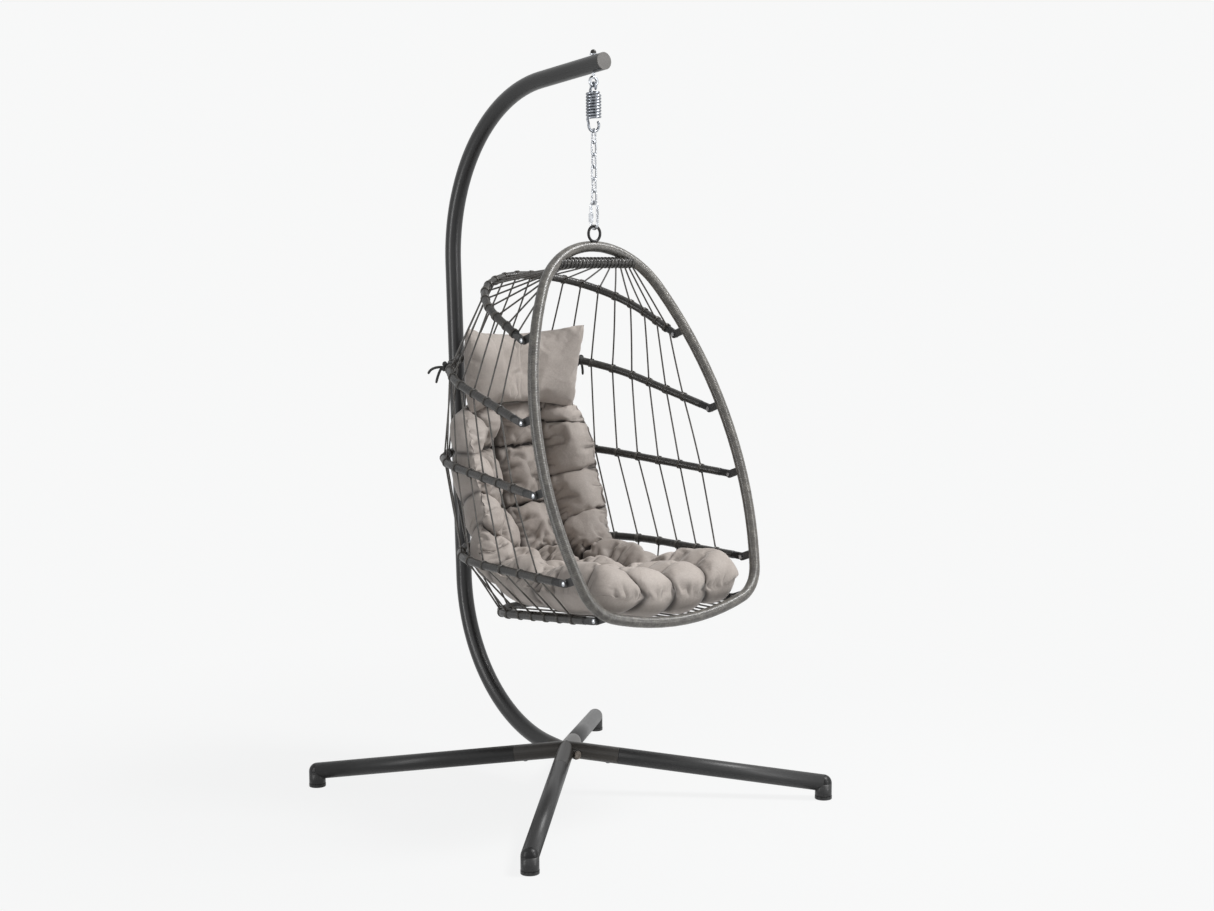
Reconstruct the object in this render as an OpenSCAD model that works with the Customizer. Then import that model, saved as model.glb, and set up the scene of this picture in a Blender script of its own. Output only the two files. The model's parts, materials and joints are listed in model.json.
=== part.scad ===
// Hanging egg chair on a C-shaped mast, in millimetres.
// +Z is up, the chair faces -Y, and the origin is on the floor below the hub.

/* [Stand] */
// Outside diameter of the mast, hub and legs
tube_d = 44; // [38:1:50]
// Wall of the mast, hub and legs
tube_wall = 1.6; // [1.2:0.1:2.5]
// Distance of each foot from the hub, along X and along Y
foot_reach = 480; // [420:5:540]
// Height of the hub's axis above the floor
hub_z = 118; // [100:1:140]
// Height of a leg's axis where it turns down into its foot
foot_axis_z = 42; // [38:1:60]
// Length of a hub arm, from the middle to the leg's shoulder
hub_arm_l = 140; // [120:5:180]
// How far a tube's reduced end goes into the next tube
socket_l = 60; // [40:5:90]
// Running gap between a reduced end and the tube round it
socket_gap = 0.3; // [0.2:0.1:0.6]
// Visible height of a foot cap
foot_cap_h = 9; // [6:1:14]
// Diameter of the screws in the tube joints
joint_screw_d = 8; // [6:1:10]

/* [Mast] */
// Distance from the hub's middle to the lower end of the mast
mast_start = 63; // [60:1:90]
// Rise of the mast where it leaves the hub, in degrees
mast_rise = 5; // [2:0.5:8]
// Radius of the lower bend
mast_low_r = 425; // [380:5:460]
// Lean of the straight middle of the mast, in degrees from level
mast_lean = 87.8; // [86:0.2:89]
// Length of the straight below the joint of the two mast tubes
mast_low_l = 340; // [250:10:450]
// Length of the straight above the joint of the two mast tubes
mast_up_l = 540; // [450:10:620]
// Radius of the upper bend
mast_up_r = 458; // [420:2:490]
// Direction of the arm at the top, in degrees from the back
arm_dir = 174.2; // [172:0.2:176]
// How far the arm reaches past the hang line
arm_over = 41; // [30:1:60]

/* [Hanging gear] */
// Distance of the hang line in front of the hub
hang_front = 130; // [110:2:150]
// Diameter of the eyebolt's rod
eyebolt_d = 8; // [6:1:10]
// Radius of the eyebolt's eye, to the middle of the rod
eyebolt_r = 11; // [10:0.5:14]
// Drop from the arm's underside to the middle of the eye
eyebolt_drop = 21; // [20:1:32]
// Diameter of the spring's wire
spring_wire = 7; // [5:0.5:7]
// Radius of the spring's coils, to the middle of the wire
spring_r = 16.5; // [15:0.5:20]
// Number of coils
spring_turns = 8; // [6:1:12]
// Rise of each coil
spring_pitch = 7.5; // [7.5:0.1:9]
// Radius of the spring's upper hook, to the middle of the wire
spring_hook_r = 9.5; // [9.5:0.5:12]
// Diameter of the chain's wire
link_wire = 5; // [4:0.5:5]
// Radius of a link's ends, to the middle of the wire
link_r = 6.5; // [6.5:0.5:8]
// Distance between the middles of a link's ends, wire to wire
link_l = 35.7; // [32:0.1:42]
// Number of links, kept even so that the quick link hangs fore and aft
LINKS = 6;
// Diameter of the quick link's rod
quick_d = 7; // [6:0.5:7]
// Radius of the quick link's ends, to the middle of the rod
quick_r = 13; // [12:0.5:15]
// Distance between the middles of the quick link's ends, rod to rod
quick_l = 68; // [62:1:80]
// Length of the sleeve nut
sleeve_l = 22; // [18:1:26]
// Diameter of the sleeve nut, across its corners
sleeve_d = 13; // [12:0.5:15]
// Width of the opening that the sleeve nut closes
quick_gap = 10; // [8:0.5:12]
// Gap left where one hanging piece rests in another
rest_gap = 0.3; // [0.2:0.05:0.5]

/* [Hoop] */
// Outside diameter of the hoop with its winding
hoop_d = 27; // [24:0.5:30]
// Wall of the hoop's tube
hoop_wall = 1.3; // [1:0.1:2]
// Turn of the basket about its hang line, in degrees
basket_turn = 3; // [-10:0.5:10]
// Backward lean of the hoop, in degrees
hoop_lean = 19.7; // [17:0.1:23]
// Distance of the hoop's top behind the hang line
hoop_back = 8; // [6:0.5:9]
// Radius of the hoop's top
hoop_top_r = 228; // [210:2:245]
// Half the width of the hoop, to the middle of its tube
hoop_half_w = 330; // [310:2:350]
// Drop from the hoop's top to its widest place
hoop_widest = 600; // [570:5:640]
// Drop from the hoop's top to its bottom
hoop_h = 972; // [940:4:1000]
// Radius of the hoop's lower corners
hoop_corner_r = 110; // [95:5:130]
// Radius of the hoop's bottom
hoop_bottom_r = 800; // [700:20:1000]
// Drop from the hoop's top to the crossbar
crossbar_drop = 44; // [40:1:60]
// Diameter of the crossbar with its winding
crossbar_d = 25; // [22:1:28]
// Radius of the eye on the hoop, to the middle of its rod
hang_eye_r = 19.5; // [17:0.5:21]
// Diameter of that eye's rod
hang_eye_d = 7; // [6:0.5:8]

/* [Ribs] */
// Outside diameter of a rib with its winding
rib_d = 19; // [17:0.5:21]
// Wall of a rib's tube
rib_wall = 1; // [0.8:0.1:1.5]
// Distance of the rib pivots behind the hoop
pivot_back = 45; // [40:1:52]
// Diameter of the rib bolts
rib_bolt_d = 6; // [5:0.5:8]
// Thickness of the tabs on the hoop
tab_t = 4; // [3:0.5:6]
// Width of the tabs on the hoop
tab_w = 20; // [18:1:26]
// Thickness of a rib's flat ends
tongue_t = 7; // [5:0.5:9]
// Gap between a rib's flat end and its tab
tab_gap = 0.3; // [0.2:0.1:0.6]
// Distance from a rib's pivot to the end of its flat tongue
tongue_l = 14; // [13:1:20]
// Length over which a rib's tube is pressed flat
press_l = 18; // [12:1:24]

/* [Rib 1] */
// Height of rib 1's pivots above the hoop's bottom, along the hoop
rib_1_up = 744; // [727:1:757]
// Depth of rib 1
rib_1_depth = 346; // [320:2:370]
// Rise of rib 1 towards the back, in degrees
rib_1_rise = 27; // [22:0.5:32]
// How much less rib 1's rear radius is than its half width
rib_1_taper = 6; // [0:1:40]

/* [Rib 2] */
// Height of rib 2's pivots above the hoop's bottom, along the hoop
rib_2_up = 537; // [517:1:557]
// Depth of rib 2
rib_2_depth = 526; // [500:2:550]
// Rise of rib 2 towards the back, in degrees
rib_2_rise = 15.8; // [12:0.2:19]
// How much less rib 2's rear radius is than its half width
rib_2_taper = 22; // [0:1:60]

/* [Rib 3] */
// Height of rib 3's pivots above the hoop's bottom, along the hoop
rib_3_up = 357; // [337:1:377]
// Depth of rib 3
rib_3_depth = 614; // [585:1:635]
// Rise of rib 3 towards the back, in degrees
rib_3_rise = 5.1; // [2:0.1:8]
// How much less rib 3's rear radius is than its half width
rib_3_taper = 54; // [0:1:80]

/* [Rib 4] */
// Height of rib 4's pivots above the hoop's bottom, along the hoop
rib_4_up = 137; // [127:1:157]
// Depth of rib 4
rib_4_depth = 607; // [580:1:625]
// Rise of rib 4 towards the back, in degrees
rib_4_rise = 1.4; // [-1:0.1:4]
// How much less rib 4's rear radius is than its half width
rib_4_taper = 4; // [0:1:60]

/* [Rib 5] */
// Height of rib 5's pivots above the hoop's bottom, along the hoop
rib_5_up = 37; // [34:1:44]
// Depth of rib 5
rib_5_depth = 540; // [510:2:560]
// Rise of rib 5 towards the back, in degrees
rib_5_rise = -6; // [-9:0.2:-3]
// How much less rib 5's rear radius is than its half width
rib_5_taper = 40; // [0:1:80]

/* [Strands] */
// Diameter of the strands
strand_d = 4.5; // [3:0.5:6]
// Number of strands on each side
strand_pairs = 10; // [6:1:12]
// Gap between a strand's end and the bar that it is tied round
strand_gap = 0.3; // [0.2:0.1:0.5]

/* [Cushion] */
// Thickness of the seat
seat_t = 118; // [90:2:130]
// Thickness of the back
back_t = 92; // [70:2:100]
// Half the width of the seat, along its curve
seat_half_w = 244; // [220:2:256]
// Half the width of the back, along its curve
back_half_w = 306; // [280:2:320]
// Columns of tufts
tuft_cols = 4; // [3:1:5]
// Rows of tufts, from the front of the seat to the top of the back
tuft_rows = 6; // [5:1:7]
// Depth of the sewn channels, as a share of the thickness
channel_share = 0.5; // [0.2:0.05:0.7]
// Width of the head pillow
pillow_w = 400; // [360:5:420]
// Height of the head pillow
pillow_h = 205; // [180:5:215]
// Thickness of the head pillow
pillow_t = 74; // [50:2:90]

/* [Hidden] */

$fn = 64;
BEND_FN = 240;
BIG = 2000;
METAL = [0.24, 0.24, 0.25];
ZINC = [0.78, 0.79, 0.8];
RATTAN = [0.3, 0.29, 0.27];
CLOTH = [0.66, 0.62, 0.59];
BLACK = [0.1, 0.1, 0.1];

// ---- Bent bars: a start [x, y, heading] and steps of [length] or [radius, turn] ----

function bend_side(step) = step[1] > 0 ? 1 : -1;
function bend_centre(p, step) =
    let (side = bend_side(step))
    [p.x - side * step[0] * sin(p.z), p.y + side * step[0] * cos(p.z)];
function after_step(p, step) =
    len(step) == 1
    ? [p.x + step[0] * cos(p.z), p.y + step[0] * sin(p.z), p.z]
    : let (c = bend_centre(p, step), side = bend_side(step), a = p.z + step[1])
      [c.x + side * step[0] * sin(a), c.y - side * step[0] * cos(a), a];
function after_steps(p, steps, n) =
    n == 0 ? p : after_step(after_steps(p, steps, n - 1), steps[n - 1]);

module section(d, bore) difference() {
    circle(d = d);
    if (bore > 0) circle(d = bore);
}

// Height and half length of the weld bead between two steps, and the gap that it closes
bead_h = 0.05;
bead_l = 0.6;
bead_gap = 0.2;

module bead(p, d, bore) translate([p.x, p.y, 0]) rotate([0, 90, p.z]) translate([0, 0, -bead_l])
    linear_extrude(2 * bead_l) section(d + 2 * bead_h, bore > 0 ? bore - 2 * bead_h : 0);

// A bar along the steps, or a tube where a bore is given. Its steps meet in weld beads:
// closed joins the last step to the first, and plugged closes a tube's two ends.
module bent_bar(start, steps, d, bore = 0, closed = false, plugged = false) {
    last = len(steps) - 1;
    for (i = [0 : last]) {
        p = after_steps(start, steps, i);
        step = steps[i];
        from = i > 0 || closed || plugged ? bead_gap : 0;
        to = i < last || closed || plugged ? bead_gap : 0;
        if (len(step) == 1)
            translate([p.x, p.y, 0]) rotate([0, 90, p.z]) translate([0, 0, from])
                linear_extrude(step[0] - from - to) section(d, bore);
        else {
            c = bend_centre(p, step);
            first = step[1] > 0 ? p.z - 90 : p.z + 90 + step[1];
            trim = 180 / PI / step[0];
            skip = step[1] > 0 ? from : to;
            translate([c.x, c.y, 0]) rotate([0, 0, first + skip * trim])
                rotate_extrude(angle = abs(step[1]) - (from + to) * trim, $fn = BEND_FN)
                    translate([step[0], 0]) section(d, bore);
        }
        if (i > 0 || closed) bead(p, d, bore);
    }
    if (plugged) {
        bead(start, d, 0);
        bead(after_steps(start, steps, last + 1), d, 0);
    }
}

// Maps a drawing's X to the part's Y and its Y to the part's Z
module side_view() rotate([90, 0, 90]) children();

// ---- Stand ----

tube_bore = tube_d - 2 * tube_wall;
socket_d = tube_bore - 2 * socket_gap;
socket_bore = socket_d - 2 * tube_wall;
leg_l = foot_reach * sqrt(2);
leg_slope = atan2(hub_z - foot_axis_z, leg_l);
leg_run = norm([leg_l, hub_z - foot_axis_z]);
leg_dirs = [225, 315, 135, 45];
foot_d = tube_d + 1;
foot_top = foot_axis_z + tube_d / 2 + 2;
screw_head_d = 1.8 * joint_screw_d;
screw_head_h = 0.5 * joint_screw_d;
screw_hole_d = joint_screw_d + 0.4;
leg_screw_x = hub_arm_l - 0.45 * socket_l;

// A cylinder along a leg's axis, between two distances from the hub's middle
module leg_path(d, from, to) translate([0, 0, hub_z]) rotate([0, 90 + leg_slope, 0])
    translate([0, 0, from]) cylinder(h = to - from, d = d);

// A round-headed screw that enters a leg's joint from below
module leg_screw(d, head) {
    translate([0, 0, hub_z]) rotate([0, leg_slope, 0]) translate([leg_screw_x, 0, 0]) {
        translate([0, 0, -tube_d / 2 - 0.2]) cylinder(h = 4 * tube_wall, d = d);
        if (head)
            translate([0, 0, -tube_d / 2 - 0.2]) intersection() {
                cylinder(h = 2 * screw_head_h, d = screw_head_d, center = true);
                translate([0, 0, screw_head_d / 2]) sphere(d = 1.35 * screw_head_d);
                translate([0, 0, -screw_head_d]) cylinder(h = screw_head_d, d = 2 * screw_head_d);
            }
    }
}

module leg() color(METAL) difference() {
    union() {
        leg_path(tube_d, hub_arm_l, leg_run);
        leg_path(socket_d, hub_arm_l - socket_l, hub_arm_l + tube_wall);
        translate([leg_l, 0, foot_cap_h]) {
            cylinder(h = foot_top - 2 - foot_cap_h, d = foot_d);
            translate([0, 0, foot_top - 2 - foot_cap_h]) cylinder(h = 2, d1 = foot_d, d2 = foot_d - 4);
        }
    }
    leg_path(tube_bore, hub_arm_l + 2 * tube_wall, leg_run - tube_bore / 4);
    leg_path(socket_bore, hub_arm_l - socket_l - 1, leg_run - tube_bore / 2);
    translate([leg_l, 0, 0]) cylinder(h = foot_top - 4, d = tube_bore);
    leg_screw(screw_hole_d, false);
}

module leg_front_left() rotate([0, 0, leg_dirs[0]]) leg();
module leg_front_right() rotate([0, 0, leg_dirs[1]]) leg();
module leg_rear_left() rotate([0, 0, leg_dirs[2]]) leg();
module leg_rear_right() rotate([0, 0, leg_dirs[3]]) leg();

module foot_caps() color(BLACK) for (a = leg_dirs) rotate([0, 0, a]) translate([leg_l, 0, 0]) {
    difference() {
        cylinder(h = foot_cap_h, d = foot_d);
        translate([0, 0, -1]) difference() {
            cylinder(h = 3, d = 2 * foot_d);
            translate([0, 0, -1]) cylinder(h = 5, d1 = foot_d - 6, d2 = foot_d + 4);
        }
    }
    translate([0, 0, foot_cap_h]) cylinder(h = foot_cap_h, d = tube_bore - 2 * socket_gap);
}

module leg_screws() color(ZINC) for (a = leg_dirs) rotate([0, 0, a]) leg_screw(joint_screw_d, true);

// The mast runs in the plane X = 0, as [y, z, heading]. Its base is a little below the legs' axes.
mast_drop = 8;
mast_lead = 18;
mast_base = [0, hub_z - mast_drop, mast_rise];
mast_foot = after_step(mast_base, [mast_start]);
mast_low_steps = [[mast_lead], [mast_low_r, mast_lean - mast_rise], [mast_low_l]];
mast_joint = after_steps(mast_foot, mast_low_steps, len(mast_low_steps));
arm_start = after_steps(mast_joint, [[mast_up_l], [mast_up_r, arm_dir - mast_lean]], 2);
arm_l = (arm_start.x + hang_front + arm_over) / -cos(arm_dir);
mast_up_steps = [[mast_up_l], [mast_up_r, arm_dir - mast_lean], [arm_l]];
hang_y = -hang_front;
arm_z = arm_start.y + (arm_start.x - hang_y) * -tan(arm_dir);
arm_half = tube_d / 2 / abs(cos(arm_dir));
mast_bolt_d = 12;
mast_bolt_slack = 1;
mast_bolt_head_d = 22;
mast_bolt_head_h = 6;
boss_d = 26;
boss_front = 44;

module mast_tube(start, steps) side_view() bent_bar(start, steps, tube_d, tube_bore);

// A tube's reduced end, from a place on the mast back into the tube below it
module reduced_end(at) side_view() translate([at.x, at.y, 0]) rotate([0, 90, at.z]) {
    translate([0, 0, -socket_l]) linear_extrude(socket_l + 2 * tube_wall) section(socket_d, socket_bore);
    translate([0, 0, bead_gap]) linear_extrude(3 * tube_wall)
        section(tube_d - tube_wall, socket_bore + bead_gap);
}

// A radial screw through the back of the mast, a distance before a place on it
module mast_screw(at, before, d, head) side_view() translate([at.x, at.y, 0])
    rotate([0, 0, at.z]) translate([-before, -tube_d / 2 - 0.2, 0]) rotate([-90, 0, 0]) {
        cylinder(h = 4 * tube_wall, d = d);
        if (head) intersection() {
            cylinder(h = 2 * screw_head_h, d = screw_head_d, center = true);
            translate([0, 0, screw_head_d / 2]) sphere(d = 1.35 * screw_head_d);
            translate([0, 0, -screw_head_d]) cylinder(h = screw_head_d, d = 2 * screw_head_d);
        }
    }

mast_screw_places = [0.25 * socket_l, 0.75 * socket_l];

module mast_lower() color(METAL) difference() {
    mast_tube(mast_foot, mast_low_steps);
    for (s = mast_screw_places) mast_screw(mast_joint, s, screw_hole_d, false);
}

module mast_upper() color(METAL) difference() {
    union() {
        mast_tube(mast_joint, mast_up_steps);
        reduced_end(mast_joint);
    }
    for (s = mast_screw_places) mast_screw(mast_joint, s, screw_hole_d, false);
    translate([0, hang_y, arm_z - tube_d]) cylinder(h = 2 * tube_d, d = eyebolt_d + 0.4);
}

module mast_screws() color(ZINC) for (s = mast_screw_places)
    mast_screw(mast_joint, s, joint_screw_d, true);

module mast_bolt() color(ZINC) translate([0, -boss_front, mast_base.y]) rotate([-90, 0, 0]) {
    cylinder(h = 2 * boss_front, d = mast_bolt_d);
    translate([0, 0, -mast_bolt_head_h]) intersection() {
        cylinder(h = mast_bolt_head_h, d = mast_bolt_head_d);
        translate([0, 0, mast_bolt_head_d / 2]) sphere(d = 1.35 * mast_bolt_head_d);
    }
}

module hub() color(METAL) difference() {
    union() {
        for (a = leg_dirs) rotate([0, 0, a]) leg_path(tube_d, 0, hub_arm_l);
        side_view() bent_bar(mast_base, [[mast_start]], tube_d);
        side_view() bent_bar(mast_base, [[mast_start + mast_lead]], socket_d);
        translate([0, -boss_front, mast_base.y]) rotate([-90, 0, 0])
            cylinder(h = boss_front, d = boss_d);
    }
    for (a = leg_dirs) rotate([0, 0, a]) leg_path(tube_bore, tube_d, hub_arm_l + 1);
    for (a = leg_dirs) rotate([0, 0, a]) leg_screw(screw_hole_d, false);
    translate([0, -BIG / 2, mast_base.y]) rotate([-90, 0, 0])
        cylinder(h = BIG / 2 + boss_front + 1, d = mast_bolt_d + mast_bolt_slack);
}

module arm_cap() color(METAL * 1.7) side_view() {
    tip = after_steps(mast_joint, mast_up_steps, len(mast_up_steps));
    translate([tip.x, tip.y, 0]) rotate([0, 90, tip.z]) {
        cylinder(h = 3, d = tube_d);
        translate([0, 0, -12]) cylinder(h = 12, d = tube_bore - 2 * socket_gap);
    }
}

// ---- Hanging gear, from the arm down, each height to the middle of a wire or rod ----

eye_z = arm_z - arm_half - eyebolt_drop;
spring_top_z = eye_z - eyebolt_r + (eyebolt_d + spring_wire) / 2 + rest_gap;
hook_z = spring_top_z - spring_hook_r;
hook_shank = 17.8;
loop_shank = 17.5;
coil_top_z = hook_z - hook_shank;
coil_low_z = coil_top_z - spring_turns * spring_pitch;
loop_z = coil_low_z - loop_shank;
spring_low_z = loop_z - spring_r;
link_step = link_wire + rest_gap;
link_1_z = spring_low_z + (spring_wire + link_wire) / 2 + rest_gap;
function link_z(n) = link_1_z - (n - 1) * (link_l - link_step);
last_link_low_z = link_z(LINKS) - link_l;
quick_top_z = last_link_low_z + (link_wire + quick_d) / 2 + rest_gap;
quick_low_z = quick_top_z - quick_l;
hang_eye_top_z = quick_low_z + (quick_d + hang_eye_d) / 2 + rest_gap;
hang_eye_z = hang_eye_top_z - hang_eye_r;
// How far the hoop's eye is let into the hoop, and the gap left for its weld
eye_sink = 2;
weld_gap = 0.1;
hoop_top_z = hang_eye_z - hang_eye_r - hang_eye_d / 2 + eye_sink
    - sqrt(pow(hoop_d / 2, 2) - pow(hoop_back, 2));
washer_t = 2;
washer_d = 2.4 * eyebolt_d;
// The washer lies level on the sloping arm
washer_z = arm_z + arm_half + washer_d / 2 * tan(180 - arm_dir) + 0.1;

module at_hang(z) translate([0, hang_y, z]) children();

module rod_torus(r, d, sides = $fn) rotate_extrude($fn = sides) translate([r, 0]) circle(d = d);

module eyebolt() color(ZINC) {
    at_hang(eye_z) rotate([90, 0, 0]) rod_torus(eyebolt_r, eyebolt_d);
    difference() {
        at_hang(eye_z + eyebolt_r) cylinder(h = washer_z + washer_t + 9 - eye_z - eyebolt_r, d = eyebolt_d);
        at_hang(eye_z) rotate([90, 0, 0]) cylinder(h = tube_d, r = eyebolt_r, center = true);
    }
}

module eyebolt_washer() color(ZINC) difference() {
    at_hang(washer_z) cylinder(h = washer_t, d = washer_d);
    at_hang(arm_z) cylinder(h = tube_d, d = eyebolt_d + 0.4);
}

module eyebolt_nut() color(METAL) difference() {
    at_hang(washer_z + washer_t + 0.1) {
        cylinder(h = 6, d = 2 * eyebolt_d, $fn = 6);
        intersection() {
            cylinder(h = 13, d = 1.7 * eyebolt_d);
            translate([0, 0, 4]) sphere(d = 1.8 * eyebolt_d);
        }
    }
    at_hang(arm_z) cylinder(h = washer_z + washer_t + 9.2 - arm_z, d = eyebolt_d + 0.1);
}

// The spring is one wire: upper hook, coils and lower loop, as points round the hang line
SPRING_SIDES = 6;
RINGS_PER_COIL = 8;
function bezier(a, b, c, d, t) =
    a * pow(1 - t, 3) + 3 * b * t * pow(1 - t, 2) + 3 * c * t * t * (1 - t) + d * pow(t, 3);
function smooth(t) = t * t * (3 - 2 * t);
coil_rings = spring_turns * RINGS_PER_COIL;
hook_foot = [0, spring_hook_r, coil_top_z + 6];
hook_side = [0, spring_hook_r, hook_z];
hook_points = [for (i = [10 : -1 : 1]) let (a = i * 22.5)
    [0, spring_hook_r * cos(a), hook_z + spring_hook_r * sin(a)]];
hook_bend = [for (i = [0 : 4])
    bezier(hook_side, hook_side - [0, 0, 7], hook_foot - [7, 0, -1], hook_foot, i / 5)];
hook_spiral = [for (i = [0 : 5])
    let (t = i / 6, r = spring_hook_r + (spring_r - spring_hook_r) * smooth(t), a = 90 - 270 * t)
    [r * cos(a), r * sin(a), hook_foot.z + (coil_top_z - hook_foot.z) * t]];
coil_points = [for (i = [0 : coil_rings - 1]) let (a = 180 - 360 * i / RINGS_PER_COIL)
    [spring_r * cos(a), spring_r * sin(a), coil_top_z - (coil_top_z - coil_low_z) * i / coil_rings]];
coil_last = [-spring_r, 0, coil_low_z];
loop_start = [-spring_r, 0, loop_z];
loop_bend = [for (i = [0 : 4])
    bezier(coil_last, coil_last + [0, 9, -0.5], loop_start + [0, 0, 9], loop_start, i / 5)];
loop_points = [for (i = [0 : 9]) let (a = 180 + 215 * i / 9)
    [spring_r * cos(a), 0, loop_z + spring_r * sin(a)]];
spring_path = concat(hook_points, hook_bend, hook_spiral, coil_points, loop_bend, loop_points);

function unit(v) = v / norm(v);
function direction_at(path, i) =
    unit(path[min(i + 1, len(path) - 1)] - path[max(i - 1, 0)]);
// Carries a ring's own direction along the path without twist
function carried(path, i, side) =
    let (d = direction_at(path, i), s = side - d * (side * d)) unit(s);
function ring_sides(path, side) =
    [for (i = 0, s = carried(path, 0, side); i < len(path);
          i = i + 1, s = i < len(path) ? carried(path, i, s) : s) s];

module swept_wire(path, d, sides, side) {
    across = ring_sides(path, side);
    points = [for (i = [0 : len(path) - 1]) let (u = across[i], w = cross(direction_at(path, i), u))
        for (k = [0 : sides - 1]) let (a = 360 * k / sides) path[i] + d / 2 * (u * cos(a) + w * sin(a))];
    quads = [for (i = [0 : len(path) - 2]) for (k = [0 : sides - 1])
        let (a = i * sides + k, b = i * sides + (k + 1) % sides) each
        [[a, a + sides, b + sides], [a, b + sides, b]]];
    last = (len(path) - 1) * sides;
    caps = [for (k = [1 : sides - 2]) each [[0, k, k + 1], [last, last + k + 1, last + k]]];
    polyhedron(points, concat(quads, caps));
}

// Least gap of the wire to itself, between points more than a coil's quarter apart
spring_gap = min([for (i = [0 : len(spring_path) - 1]) for (j = [i + 4 : 1 : len(spring_path) - 1])
    norm(spring_path[i] - spring_path[j])]) - spring_wire;
echo(spring_least_gap = spring_gap);

module spring() color(ZINC) at_hang(0) swept_wire(spring_path, spring_wire, SPRING_SIDES, [1, 0, 0]);

// A closed link hanging from a height, in the plane X = 0
module oval_link(l, r, d) rotate([90, 0, 90]) translate([0, -r, 0])
    bent_bar([r, 0, 90], [[r, 180], [l - 2 * r], [r, 180], [l - 2 * r]], d, closed = true);

module link(n) color(ZINC) at_hang(link_z(n)) rotate([0, 0, n % 2 == 1 ? 0 : 90])
    oval_link(link_l, link_r, link_wire);

module link_1() link(1);
module link_2() link(2);
module link_3() link(3);
module link_4() link(4);
module link_5() link(5);
module link_6() link(6);

sleeve_z = quick_low_z + quick_r + 4;

module quick_link() color(ZINC) at_hang(quick_top_z) difference() {
    oval_link(quick_l, quick_r, quick_d);
    translate([-quick_d, quick_r - quick_d, sleeve_z + 3 - quick_top_z])
        cube([2 * quick_d, 2 * quick_d, quick_gap]);
}

module sleeve_nut() color(ZINC) at_hang(sleeve_z) translate([0, quick_r, 0]) difference() {
    cylinder(h = sleeve_l, d = sleeve_d, $fn = 6);
    translate([0, 0, -1]) cylinder(h = sleeve_l + 2, d = quick_d + 0.2);
}

// ---- Hoop, drawn flat with its top at the origin and its width along X ----

side_r = (pow(hoop_half_w, 2) + pow(hoop_widest - hoop_top_r, 2) - pow(hoop_top_r, 2))
    / (2 * (hoop_half_w - hoop_top_r));
side_c = [hoop_half_w - side_r, -hoop_widest];
top_c = [0, -hoop_top_r];
bottom_c = [0, hoop_bottom_r - hoop_h];
// Where two circles meet, on the right of the line from the first middle to the second
function circles_meet(c1, r1, c2, r2) =
    let (d = norm(c2 - c1), a = (r1 * r1 - r2 * r2 + d * d) / (2 * d),
         h = sqrt(r1 * r1 - a * a), u = (c2 - c1) / d)
    c1 + a * u + h * [u.y, -u.x];
corner_c = circles_meet(side_c, side_r - hoop_corner_r, bottom_c, hoop_bottom_r - hoop_corner_r);
function angle_of(v) = atan2(v.y, v.x);
top_end_a = angle_of(top_c - side_c);
side_end_a = angle_of(corner_c - side_c);
corner_end_a = angle_of(corner_c - bottom_c);
hoop_steps = [
    [hoop_top_r, top_end_a - 90],
    [side_r, side_end_a - top_end_a],
    [hoop_corner_r, corner_end_a - side_end_a],
    [hoop_bottom_r, 2 * (-90 - corner_end_a)],
    [hoop_corner_r, corner_end_a - side_end_a],
    [side_r, side_end_a - top_end_a],
    [hoop_top_r, top_end_a - 90]
];
side_start_drop = -(top_c.y + hoop_top_r * sin(top_end_a));
corner_start_drop = -(corner_c.y + hoop_corner_r * sin(side_end_a));
bottom_start_drop = -(corner_c.y + hoop_corner_r * sin(corner_end_a));

// Half the hoop's width at a drop below its top, to the middle of the tube
function hoop_x(drop) =
    drop < side_start_drop ? sqrt(pow(hoop_top_r, 2) - pow(hoop_top_r - drop, 2))
    : drop < corner_start_drop ? side_c.x + sqrt(pow(side_r, 2) - pow(hoop_widest - drop, 2))
    : drop < bottom_start_drop ? corner_c.x + sqrt(pow(hoop_corner_r, 2) - pow(-corner_c.y - drop, 2))
    : sqrt(pow(hoop_bottom_r, 2) - pow(bottom_c.y + drop, 2));

// The basket's own frame: its hang line is the Z axis, and its back is +Y
module basket() at_hang(0) rotate([0, 0, basket_turn]) children();
// The hoop's plane in that frame: X across, Y up the hoop, Z out to the front
module hoop_plane() translate([0, hoop_back, hoop_top_z]) rotate([90 - hoop_lean, 0, 0]) children();
// A point given by its place in the hoop's plane and its distance behind it
function behind_hoop(x, up, back) =
    [x, hoop_back + up * sin(hoop_lean) + back * cos(hoop_lean),
     hoop_top_z + up * cos(hoop_lean) - back * sin(hoop_lean)];

module hoop() color(RATTAN) basket() hoop_plane()
    bent_bar([0, 0, 0], hoop_steps, hoop_d, hoop_d - 2 * hoop_wall, closed = true);

// The circle that the hoop's top is part of, with room for a weld
module top_ring() hoop_plane() translate([0, -hoop_top_r, 0])
    rod_torus(hoop_top_r, hoop_d + 2 * weld_gap, BEND_FN);

module hang_eye() color(METAL) basket() difference() {
    translate([0, 0, hang_eye_z]) rotate([90, 0, 0]) rod_torus(hang_eye_r, hang_eye_d);
    top_ring();
}

module crossbar() color(RATTAN) basket() difference() {
    hoop_plane() translate([0, -crossbar_drop, 0]) rotate([0, 90, 0])
        cylinder(h = 2 * hoop_x(crossbar_drop), d = crossbar_d, center = true);
    top_ring();
}

// ---- Ribs: each is a U that turns on two bolts behind the hoop ----

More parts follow.
